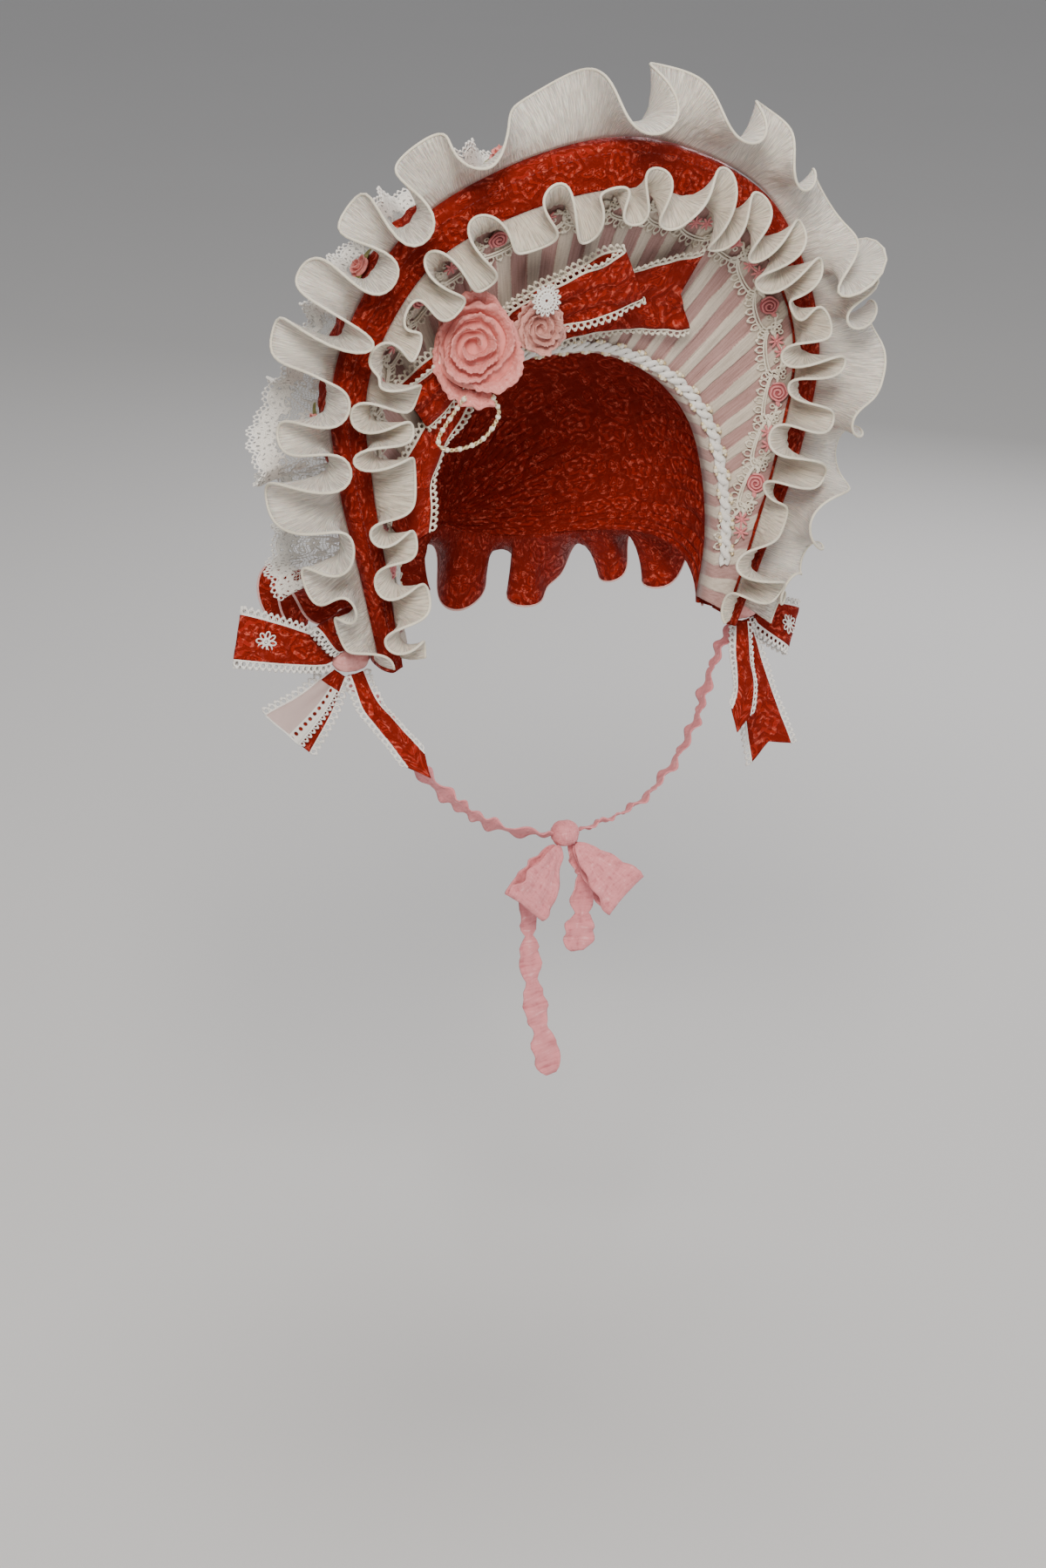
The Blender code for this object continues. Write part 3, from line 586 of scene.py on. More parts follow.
@dataclass(frozen=True)
class Chiffon:
    """Crinkled sheer cloth whose fine lines run from the gathers to the hem."""

    name: str
    colour: Colour = (0.84, 0.785, 0.69)
    # shade is painted shade for the crinkle's hollows
    shade: Colour = (0.54, 0.485, 0.43)
    cover: float = 0.80
    lines: float = 12.0

    def make(self) -> Material:
        """Weave it: noise drawn out along the strip's width gives the crinkle and its cover, and painted
        shade in the crinkle's hollows.
        """
        loom = Loom(self.name)
        cloth = loom.bent(loom.cloth(), 1.2, 0.12)
        crinkle = loom.streaks(cloth, self.lines, 0.8, 3.0, 0.6)
        fine = loom.streaks(cloth, self.lines * 3.2, 2.4)
        lines = crinkle * 0.65 + fine * 0.35
        # Painted shade: the crinkle lines are the cloth's own, and where they are low, in the bump's hollows,
        # the colour goes towards shade
        colour = loom.mix(lines.rise(0.32, 0.6), self.shade, self.colour)
        cover = loom.math("MINIMUM", self.cover + lines.rise(0.42, 0.62) * 0.35, 1.0)
        return loom.finish({"Base Color": colour, "Alpha": cover, "Normal": loom.bump(lines, 0.8)},
                           {"Roughness": 0.82, "Subsurface Weight": 0.18, "Subsurface Scale": 0.002,
                            "Sheen Weight": 0.2, "Specular IOR Level": 0.25})


@dataclass(frozen=True)
class Cotton:
    """Twisted or pressed thread in one colour, for hems, cords, guipure and embroidery."""

    name: str
    colour: Colour
    shade: Colour
    grain: float = 2600.0
    roughness: float = 0.85

    def make(self) -> Material:
        """Spin it: fine noise in the piece's own space gives the thread."""
        loom = Loom(self.name)
        thread = loom.noise(loom.solid(), self.grain, 2.0, 0.6)
        patch = loom.noise(loom.solid(), 90.0, 2.0)
        colour = loom.mix((thread * 0.6 + patch * 0.4).rise(0.3, 0.62), self.shade, self.colour)
        return loom.finish({"Base Color": colour, "Normal": loom.bump(thread, 0.35)},
                           {"Roughness": self.roughness, "Sheen Weight": 0.15,
                            "Specular IOR Level": 0.3})


@dataclass(frozen=True)
class StripedPleats:
    """Lining in cream and dusty pink; the first place on the cloth counts the stripes."""

    name: str = "striped_lining"
    cream: Colour = (0.66, 0.575, 0.48)
    cream_dark: Colour = (0.50, 0.42, 0.345)
    pink: Colour = (0.455, 0.275, 0.25)
    pink_dark: Colour = (0.33, 0.185, 0.165)

    def make(self) -> Material:
        """Weave it: the left-over part of the stripe count chooses the colour, with a ragged edge."""
        loom = Loom(self.name)
        cloth = loom.cloth()
        count = loom.parts(cloth)[0]
        drift = loom.streaks(cloth, 1.1, 0.45, 1.0) * 0.16 - 0.08
        ragged = loom.streaks(cloth, 3.0, 14.0) * 0.07 - 0.035
        stripe = (count + drift + ragged).part()
        cream = stripe.rise(0.03, 0.07) * stripe.rise(0.54, 0.49)
        streaks = loom.streaks(cloth, 16.0, 0.7, 3.0, 0.6)
        weave = loom.streaks(cloth, 9.0, 26.0)
        tone = (streaks * 0.7 + weave * 0.3).rise(0.35, 0.62)
        light = loom.mix(tone, self.cream_dark, self.cream)
        dark = loom.mix(tone, self.pink_dark, self.pink)
        colour = loom.mix(cream, dark, light)
        height = streaks * 0.6 + weave * 0.2 + cream * 0.2
        return loom.finish({"Base Color": colour, "Normal": loom.bump(height, 0.5)},
                           {"Roughness": 0.8, "Sheen Weight": 0.2, "Specular IOR Level": 0.25})


@dataclass(frozen=True)
class NetLace:
    """White net with flowers and a dense guipure border; the second place runs to the hem at 1."""

    name: str = "white_net_lace"
    colour: Colour = (0.86, 0.83, 0.77)
    shade: Colour = (0.62, 0.58, 0.52)
    net_size: float = 0.17
    flower_size: float = 1.25
    border: float = 0.74

    def make(self) -> Material:
        """Weave it: cell edges are the net, and five-petalled cells and the border cover it."""
        loom = Loom(self.name)
        cloth = loom.cloth()
        run, reach = loom.parts(cloth)
        flat = loom.add("ShaderNodeCombineXYZ", inputs={"X": run, "Y": reach * 3.7})
        edge = {"feature": "DISTANCE_TO_EDGE", "voronoi_dimensions": "2D"}
        net = loom.add("ShaderNodeTexVoronoi", edge, {
            "Vector": flat, "Scale": 1.0 / self.net_size, "Randomness": 0.35}).rise(0.12, 0.06)
        length, turn = loom.cells(flat, self.flower_size, 0.5)
        petals = (turn * 5.0).sine() * 0.09 + 0.33
        flower = (petals - length).rise(0.0, 0.03) * length.rise(0.07, 0.1)
        vine = (loom.noise(flat, 1.1, 0.0) * 26.0).sine().rise(0.78, 0.9)
        band = reach.rise(self.border, self.border + 0.03)
        holes = loom.add("ShaderNodeTexVoronoi", edge, {
            "Vector": flat, "Scale": 3.1, "Randomness": 0.8}).rise(0.34, 0.29)
        cover = loom.math("MAXIMUM", loom.math("MAXIMUM", net * 0.75, flower),
                          loom.math("MAXIMUM", vine * 0.95, band * holes))
        thread = loom.streaks(cloth, 22.0, 60.0)
        colour = loom.mix(thread.rise(0.3, 0.6), self.shade, self.colour)
        height = cover * 0.6 + thread * 0.4
        return loom.finish({"Base Color": colour, "Alpha": cover, "Normal": loom.bump(height, 0.5)},
                           {"Roughness": 0.88, "Sheen Weight": 0.1, "Specular IOR Level": 0.25})


@dataclass(frozen=True)
class EyeletGauze:
    """Pale pink gauze with a row of eyelets; the second place runs across the ribbon to 1."""

    name: str = "eyelet_gauze"
    colour: Colour = (0.86, 0.66, 0.62)
    edge_colour: Colour = (0.90, 0.86, 0.80)
    row: float = 0.80
    row_width: float = 0.10
    spacing: float = 0.36

    def make(self) -> Material:
        """Weave it: crossing threads, and a round hole in each cell of the row."""
        loom = Loom(self.name)
        run, reach = loom.parts(loom.cloth())
        cell = (run / self.spacing).part() - 0.5
        across = (reach - self.row) / self.row_width * 0.5
        hole = loom.math("SQRT", cell * cell + across * across).rise(0.24, 0.34)
        warp = (run * 110.0).sine().rise(-0.7, 0.2)
        weft = (reach * 330.0).sine().rise(-0.7, 0.2)
        band = reach.rise(self.row - self.row_width * 1.3, self.row - self.row_width)
        weave = loom.math("MAXIMUM", loom.math("MAXIMUM", warp, weft) * 0.82, band)
        colour = loom.mix(band, self.colour, self.edge_colour)
        return loom.finish({"Base Color": colour, "Alpha": weave * hole,
                            "Normal": loom.bump(warp * 0.5 + weft * 0.5, 0.2)},
                           {"Roughness": 0.85, "Specular IOR Level": 0.25})


@dataclass(frozen=True)
class CrepeRibbon:
    """Crinkled ribbon with creases across it, for roses and petals."""

    name: str
    colour: Colour
    # light is the painted highlight on the crease crests, shade the painted shade in their hollows
    light: Colour
    shade: Colour
    creases: float = 7.0
    depth: float = 1.5
    roughness: float = 0.55

    def make(self) -> Material:
        """Weave it: two stretched noises, one each way, make creases, with painted shade in their hollows and
        a painted highlight on their crests.
        """
        loom = Loom(self.name)
        cloth = loom.bent(loom.cloth(), 2.0, 0.2)
        across = loom.streaks(cloth, self.creases, 1.8, 3.0, 0.6)
        lengthwise = loom.streaks(cloth, 1.6, self.creases)
        crease = across * 0.6 + lengthwise * 0.4
        # Painted shade and highlight: the crease height that drives the bump also darkens the hollows towards
        # shade and lightens the crests towards light
        low = loom.mix(crease.rise(0.28, 0.52), self.shade, self.colour)
        colour = loom.mix(crease.rise(0.54, 0.7), low, self.light)
        return loom.finish({"Base Color": colour, "Normal": loom.bump(crease, self.depth)},
                           {"Roughness": self.roughness, "Sheen Weight": 0.3,
                            "Sheen Tint": (*self.light, 1.0), "Specular IOR Level": 0.4})


@dataclass(frozen=True)
class Bead:
    """Pearly or metallic bead."""

    name: str
    colour: Colour
    shade: Colour
    metallic: float = 0.0
    roughness: float = 0.25

    def make(self) -> Material:
        """Polish it: a slow noise shifts the colour from bead to bead."""
        loom = Loom(self.name)
        tone = loom.noise(loom.solid(), 420.0, 2.0)
        colour = loom.mix(tone.rise(0.35, 0.65), self.shade, self.colour)
        rough = self.roughness + tone * 0.15
        return loom.finish({"Base Color": colour, "Roughness": rough},
                           {"Metallic": self.metallic, "Coat Weight": 0.5, "Coat Roughness": 0.12})


@dataclass(frozen=True)
class PaleFloor:
    """Plain matt floor with a faint cloudiness."""

    name: str = "pale_floor"
    colour: Colour = (0.60, 0.59, 0.58)
    shade: Colour = (0.57, 0.56, 0.55)

    def make(self) -> Material:
        """Paint it: slow noise between two near colours."""
        loom = Loom(self.name)
        cloud = loom.noise(loom.solid(), 1.5, 3.0)
        return loom.finish({"Base Color": loom.mix(cloud, self.shade, self.colour)}, {"Roughness": 0.9})


class Wardrobe:
    """Every finish of the bonnet, made once."""

    def __init__(self) -> None:
        """Make the materials."""
        self.brocade = Brocade().make()
        self.outer_chiffon = Chiffon("outer_chiffon", cover=0.56).make()
        # The inner chiffon takes its colour, the painted shade for the crinkle's hollows and its cover
        self.inner_chiffon = Chiffon("inner_chiffon", (0.70, 0.625, 0.515), (0.44, 0.38, 0.31), 0.84).make()
        self.hem = Cotton("cream_rolled_hem", (0.86, 0.80, 0.66), (0.66, 0.59, 0.45)).make()
        self.pink_hem = Cotton("pink_rolled_hem", (0.84, 0.52, 0.48), (0.66, 0.34, 0.31)).make()
        self.lining = StripedPleats().make()
        self.net = NetLace().make()
        self.guipure = Cotton("ivory_guipure", (0.86, 0.80, 0.68), (0.62, 0.55, 0.42)).make()
        self.white_cotton = Cotton("white_cotton", (0.92, 0.90, 0.86), (0.70, 0.67, 0.61)).make()
        self.blossom = Cotton("pink_embroidery", (0.82, 0.31, 0.31), (0.60, 0.17, 0.18)).make()
        self.blossom_pad = Cotton("deep_pink_embroidery", (0.46, 0.12, 0.13), (0.30, 0.06, 0.07)).make()
        self.gauze = EyeletGauze().make()
        # Each crepe ribbon takes its colour, then the painted highlight for the crease crests, then the
        # painted shade for the hollows
        self.big_rose = CrepeRibbon("salmon_rose_ribbon", (0.82, 0.29, 0.255), (0.95, 0.52, 0.46),
                                    (0.60, 0.15, 0.13)).make()
        self.small_rose = CrepeRibbon("dusty_rose_ribbon", (0.66, 0.32, 0.27), (0.80, 0.47, 0.40),
                                      (0.42, 0.17, 0.14)).make()
        self.petal = CrepeRibbon("petal_ribbon_cloth", (0.72, 0.255, 0.27), (0.86, 0.42, 0.43),
                                 (0.50, 0.13, 0.15), 6.0, 0.4, 0.75).make()
        self.satin = CrepeRibbon("pink_satin_ribbon", (0.80, 0.36, 0.34), (0.93, 0.60, 0.57),
                                 (0.58, 0.20, 0.19), 4.0, 0.3, 0.32).make()
        self.leaf = CrepeRibbon("olive_leaf_ribbon", (0.20, 0.19, 0.06), (0.42, 0.38, 0.15),
                                (0.09, 0.09, 0.02), 5.0, 0.3, 0.4).make()
        self.pearl = Bead("cream_pearl", (0.86, 0.80, 0.68), (0.74, 0.66, 0.50)).make()
        self.gold = Bead("gold_bead", (0.84, 0.72, 0.48), (0.66, 0.50, 0.26), 0.55, 0.3).make()
        self.red_thread = Cotton("red_thread", (0.30, 0.022, 0.014), (0.16, 0.01, 0.008)).make()


# The brim's form, the same as the solids'

class Station(NamedTuple):
    """One place on the brim's half outline: its rim and its head edge."""

    u: float
    rim: Point
    head: Point


class BrimRow(NamedTuple):
    """One line of the brim's outer skin, from the border's inner edge over the rim to the crown."""

    to_crown: float
    border: float
    out: float
    back: float


@dataclass(frozen=True)
class BrimForm:
    """Where the brim, its lining and the crown run."""

    stations: tuple[Station, ...] = (
        Station(0.00, (0, -90, 117), (0, -35, -1)),
        Station(0.14, (50, -82, 106), (22, -33, -3)),
        Station(0.28, (98, -73, 80), (48, -32, -13)),
        Station(0.43, (128, -66, 37), (70, -33, -28)),
        Station(0.57, (140, -63, -6), (86, -35, -50)),
        Station(0.71, (134, -61, -55), (94, -37, -80)),
        Station(0.85, (119, -57, -108), (96, -39, -114)),
        Station(1.00, (104, -50, -159), (91, -40, -150)),
    )
    rows: tuple[BrimRow, ...] = (
        BrimRow(0.0, 1.0, 0.0, 1.0),
        BrimRow(0.0, 0.5, 0.0, 0.3),
        BrimRow(0.0, 0.0, 0.0, 0.0),
        BrimRow(0.0, 0.0, 2.5, 6.0),
        BrimRow(0.0, 0.0, 3.0, 16.0),
        BrimRow(0.0, 0.0, 0.0, 26.0),
        BrimRow(0.45, 0.0, 5.0, 0.0),
        BrimRow(1.0, 0.0, 0.0, 0.0),
    )
    border_side: float = 14.0
    border_top_extra: float = 9.0
    border_top_spread: float = 0.35
    border_end: float = 7.0
    border_taper_u: float = 0.7
    seam_back: float = 14.5
    seam_out: float = 2.6
    seam_gap: float = 1.3
    shell_wall: float = 1.6
    crown_wall: float = 1.5
    lining_tuck: float = 3.0
    lining_gap: float = 0.9
    head_centre: Point = (0.0, 0.0, -96.0)
    head_radii: Point = (99.0, 108.0, 96.0)
    nape: Point = (0.0, 101.0, -128.0)
    hem_rise: float = 230.0

    def _outline(self, first: str) -> tuple[Array, Array]:
        """Knots and points of one outline on both sides; first is rim or head."""
        half = np.array([(row.u, *getattr(row, first)) for row in self.stations], float)
        mirrored = half[:0:-1] * np.array((-1.0, -1.0, 1.0, 1.0))
        whole = np.vstack((mirrored, half))
        return whole[:, 0], whole[:, 1:]

    def head_edge(self, u: Array) -> Array:
        """The lining's edge next to the face."""
        return smooth_curve(*self._outline("head"), u)

    def axes(self, u: Array) -> tuple[Array, Array, Array, Array]:
        """Rim points with the ways outward, forward and along from each."""
        rim = self._outline("rim")
        step = 0.01
        points = smooth_curve(*rim, u)
        along = unit(smooth_curve(*rim, np.minimum(u + step, 1.0))
                     - smooth_curve(*rim, np.maximum(u - step, -1.0)))
        forward = unit(FACE_WAY + along * along[:, 1:2])
        return points, np.cross(forward, along), forward, along

    def near_rim(self, u: Array, out: float | Array, back: float | Array) -> Array:
        """Points at a distance outward and backward from the rim."""
        points, outward, forward, _ = self.axes(u)
        out = np.broadcast_to(out, u.shape)[:, None]
        back = np.broadcast_to(back, u.shape)[:, None]
        return points + outward * out - forward * back

    def border_width(self, u: Array) -> Array:
        """Width of the red border in front."""
        top = self.border_top_extra * np.exp(-(u / self.border_top_spread) ** 2)
        taper = np.clip((np.abs(u) - self.border_taper_u) / (1.0 - self.border_taper_u), 0.0, 1.0)
        return self.border_side + top - (self.border_side - self.border_end) * taper

    def crown_seam(self, u: Array) -> Array:
        """The crown's front edge."""
        _, outward, _, _ = self.axes(u)
        return self.head_edge(u) - FACE_WAY * self.seam_back + outward * self.seam_out

    def skin(self, u: Array, row: BrimRow) -> Array:
        """One row of the brim's outer skin."""
        near = self.near_rim(u, row.out - self.border_width(u) * row.border, row.back)
        if row.to_crown == 0.0:
            return near
        behind = self.near_rim(u, self.rows[5].out, self.rows[5].back)
        _, outward, _, _ = self.axes(u)
        return behind * (1 - row.to_crown) + self.crown_seam(u) * row.to_crown + outward * row.out

    def lining(self, u: Array, share: float | Array) -> Array:
        """Front of the lining, from the head edge at 0 to the border's seam at 1."""
        behind = self.rows[0].back + self.shell_wall + GAP + self.lining_gap
        seam = self.near_rim(u, self.lining_tuck - self.border_width(u), behind)
        share = np.broadcast_to(share, u.shape)[:, None]
        return self.head_edge(u) * (1 - share) + seam * share

    def lining_width(self, u: Array) -> Array:
        """Width of the lining from the head edge to the border's seam."""
        return np.linalg.norm(self.lining(u, 1.0) - self.lining(u, 0.0), axis=1)

    def crown(self, u: Array, share: float | Array, lift: float | Array = 0.0) -> Array:
        """Inside of the crown, from its front edge at 0 to the nape at 1."""
        centre, radii = np.array(self.head_centre), np.array(self.head_radii)
        start = self.crown_seam(u) - FACE_WAY * self.seam_gap - centre
        start_way, end_way = unit(start), unit(np.array(self.nape) - centre)
        angle = np.arccos(np.clip(start_way @ end_way, -1.0, 1.0))[:, None]
        share = np.broadcast_to(share, u.shape)[:, None]
        way = (np.sin((1 - share) * angle) * start_way + np.sin(share * angle) * end_way) / np.sin(angle)
        rise = self.hem_rise * share * (1.0 - share) ** 2 * np.abs(u[:, None]) ** 4
        way = unit(way * radii[0] + UP * rise)
        round_radius = 1.0 / np.linalg.norm(way / radii, axis=1, keepdims=True)
        start_radius = 1.0 / np.linalg.norm(start_way / radii, axis=1, keepdims=True)
        ratio = np.linalg.norm(start, axis=1, keepdims=True) / start_radius
        lift = np.broadcast_to(lift, u.shape)[:, None]
        return centre + way * (round_radius * (1.0 + (ratio - 1.0) * (1.0 - share) ** 3) + lift)


@dataclass
class Brim:
    """The stiffened brim in brocade, with its stitched seam, and the pleated lining."""

    form: BrimForm
    wardrobe: Wardrobe
    columns: int = 360
    rows_between: int = 5
    pucker: float = 0.55
    lining_columns: int = 1200
    lining_rows: int = 17
    lining_end: float = 0.985
    stripes: float = 33.0
    pleat_depth: float = 0.8
    turn_back: float = 12.0
    cloth_width: float = 60.0
    lining_wall: float = 1.1
    stitch_inset: float = 3.2
    stitch_length: float = 2.1
    stitch_space: float = 3.4

    def build(self) -> None:
        """Make the shell, its stitches and the lining."""
        self._shell()
        self._stitches()
        self._lining()

    def _shell_rows(self, u: Array, at: Array) -> Array:
        """Skin points by u and by row number, which may fall between two rows."""
        rows = np.stack([self.form.skin(u, row) for row in self.form.rows])
        flat = smooth_curve(np.arange(len(rows)), rows.reshape(len(rows), -1), at)
        return flat.reshape(len(at), len(u), 3).transpose(1, 0, 2)

    def _shell(self) -> None:
        """Skin through the rows, with small puckers across the border and behind the rim."""
        u = np.linspace(-1.0, 1.0, self.columns + 1)
        at = np.linspace(0.0, len(self.form.rows) - 1.0, self.rows_between * (len(self.form.rows) - 1) + 1)
        grid = self._shell_rows(u, at)
        _, outward, forward, _ = self.form.axes(u)
        run = run_length(grid[:, 2 * self.rows_between])
        folds = ripple(stacked(run[:, None], 3.0 * at), 11.0, 3)
        front = smooth_step(at, 2.0, 0.6) * (1.0 - smooth_step(at, 0.4, 0.0) * 0.6)
        behind = smooth_step(at, 3.0, 4.5) * smooth_step(at, 7.0, 6.0)
        lift = self.pucker * folds
        grid = grid + forward[:, None] * (lift * front)[..., None] + outward[:, None] * (
            1.6 * lift * behind)[..., None]
        down = run_length(self._shell_rows(np.zeros(1), at)[0])
        cloth = stacked(run[:, None] * CM, down * CM)
        sew("brim_brocade", loft(grid, cloth), self.wardrobe.brocade, ["brim_shell"],
            self.form.shell_wall, -1.0)

    def _stitches(self) -> None:
        """A row of stitches a little inside the rim, each a short thread."""
        u = np.linspace(-0.99, 0.99, 1200)
        path = self.form.near_rim(u, -self.stitch_inset, -0.25)
        run = run_length(path)
        starts = np.arange(0.0, run[-1] - self.stitch_space, self.stitch_space)
        at = starts[:, None] + np.linspace(0.0, self.stitch_length, 4)
        _, _, forward, _ = self.form.axes(np.interp(at[:, 0], run, u))
        arch = np.array((-0.15, 0.12, 0.12, -0.15))
        places = read_at(path, run, at) + forward[:, None] * arch[:, None]
        threads = tubes(places, np.broadcast_to(forward[:, None], places.shape), 0.3, sides=4)
        sew("border_stitches", threads, self.wardrobe.red_thread)

    def _lining(self) -> None:
        """Knife pleats: each stripe pair rises to an edge and drops behind it."""
        u = np.linspace(-self.lining_end, self.lining_end, self.lining_columns)
        _, _, forward, _ = self.form.axes(u)
        run = run_length(self.form.near_rim(u, -self.form.border_side, 0.0))
        count = run / run[-1] * self.stripes
        shares = np.linspace(0.0, 1.0, self.lining_rows)
        rows = []
        for share in shares:
            wander = 0.07 * ripple(stacked(run, share * self.cloth_width), 34.0, 8)
            phase = (count + wander) % 1.0
            saw = smooth_step(phase, 0.0, 0.07) * (1.0 - 0.35 * smooth_step(phase, 0.1, 0.5))
            saw = np.where(phase > 0.5, 0.15 + 0.25 * (phase - 0.5), saw)
            depth = self.pleat_depth * (0.35 + 0.65 * math.sin(math.pi * min(share + 0.12, 1.0)))
            rows.append(self.form.lining(u, share) + forward * ((saw * 2.0 - 1.0) * depth)[:, None])
        rows.insert(0, self.form.head_edge(u) - FACE_WAY * self.turn_back)
        grid = np.stack(rows, axis=1)
        down = np.concatenate(([0.0], self.turn_back + shares * self.cloth_width)) * CM
        cloth = stacked(count[:, None], down)
        lining = sew("pleated_lining", loft(grid, cloth), self.wardrobe.lining,
                     ["brim_lining"], self.lining_wall, 0.0)
        cut_of(lining, grid)


@dataclass
class Crown:
    """Soft crown over the back of the head, gathered at the brim and at the nape."""

    form: BrimForm
    wardrobe: Wardrobe
    columns: int = 400
    rows: int = 40
    gathers: float = 23.0
    depth: float = 1.8
    last_share: float = 0.998
    seam_overlap: float = 1.6
    seam_sink: float = 0.8
    cloth_height: float = 17.0

    def build(self) -> None:
        """Dome with folds that are deep at both seams, its edge tucked into the brim's."""
        u = np.linspace(-1.0, 1.0, self.columns + 1)
        shares = np.linspace(0.0, self.last_share, self.rows)
        seam_run = run_length(self.form.crown_seam(u))
        rows = []
        for share in shares:
            wander = 0.5 * ripple(stacked(seam_run, share * 110.0), 55.0, 21)
            wave = np.abs(np.sin(math.pi * (self.gathers * (u + 1.0) + wander)))
            near_seam = smooth_step(share, 0.0, 0.05) * (1.0 - smooth_step(share, 0.05, 0.6))
            near_nape = smooth_step(share, 0.35, 0.85) * (1.0 - smooth_step(share, 0.93, 1.0) * 0.6)
            soft = 0.8 * ripple(stacked(seam_run, share * 90.0), 38.0, 5)
            strength = near_seam + 0.8 * near_nape
            swell = strength * self.depth * (1.0 - wave**0.8) + soft * near_seam
            ends = 1.0 - smooth_step(np.abs(u), 0.97, 1.0)
            rows.append(self.form.crown(u, share, self.form.crown_wall + swell * ends))
        reach = self.form.seam_gap + self.seam_overlap
        sunk = self.form.crown(u, 0.0, self.form.crown_wall - self.seam_sink)
        rows.insert(0, sunk + FACE_WAY * reach)
        grid = np.stack(rows, axis=1)
        down = np.concatenate(([-reach * CM], shares * self.cloth_height))
        cloth = stacked(seam_run[:, None] * CM, down)
        crown = sew("crown_brocade", loft(grid, cloth), self.wardrobe.brocade,
                    ["crown_cap"], self.form.crown_wall, -1.0)
        cut_of(crown, grid)


# Ruffles

# How much the folds' swing, width, sway and place along the seam vary, and between which limits
FOLD_VARIATION = np.array((0.30, 0.13, 0.5, 0.11))
FOLD_LIMITS = (-0.5, 0.35)


class Frill(NamedTuple):
    """Sizes of a gathered strip: width, mean lean, swing and sway of its folds, and its wall."""

    width: float
    lean: float
    swing: float
    sway: float
    wall: float


@dataclass
class Strip:
    """Where a gathered strip is sewn: its roots, two ways that the hem swings between, and its folds."""

    roots: Array
    first: Array
    second: Array
    along: Array
    phase: Array
    taper: Array | float = 1.0

    def cloth_grid(self, frill: Frill, rows: int, seed: int, gather: float = 0.7) -> Array:
        """Points of the strip.

        At each share of the width the strip turns by its lean plus the swing times the cosine of
        the fold's phase, and sways along the seam with twice that phase, so that the folds curl
        over their neighbours.  Each fold is a little stronger or weaker than the next, and small
        gathers next to the seam die out towards the hem.

        Args:
            frill: The strip's sizes.
            rows: How many rows from the seam to the hem.
            seed: Sets how the folds differ.
            gather: Height of the small gathers.

        Returns:
            Points by column along the seam and by row.
        """
        rng = np.random.default_rng(seed)
        low, high = math.floor(self.phase.min()) - 1, math.ceil(self.phase.max()) + 1
        knots = np.arange(low, high + 0.5, 0.5)
        vary = np.clip(rng.normal(size=(len(knots), 4)) * FOLD_VARIATION, *FOLD_LIMITS)
        swing, width, sway, drift = smooth_curve(knots, vary, self.phase).T
        phase = self.phase + drift
        run = run_length(self.roots)
        wide = frill.width * (1.0 + width) * self.taper
        rows_of_points = []
        for share in np.linspace(0.0, 1.0, rows):
            spread = share**0.8
            turn = np.radians(frill.lean + frill.swing * (1.0 + swing) * spread * np.cos(TAU * phase))
            side = frill.sway * (1.0 + sway) * share**1.2 * np.sin(2 * TAU * phase)
            ripples = gather * share * (1.0 - share) ** 2 * 5.0 * ripple(
                stacked(run, share * 8.0), 3.4, seed + 1)
            way = np.cos(turn)[:, None] * self.first + np.sin(turn)[:, None] * self.second
            bend = -np.sin(turn)[:, None] * self.first + np.cos(turn)[:, None] * self.second
            rows_of_points.append(self.roots + (wide * share)[:, None] * way
                                  + side[:, None] * self.along + ripples[:, None] * bend)
        return np.stack(rows_of_points, axis=1)


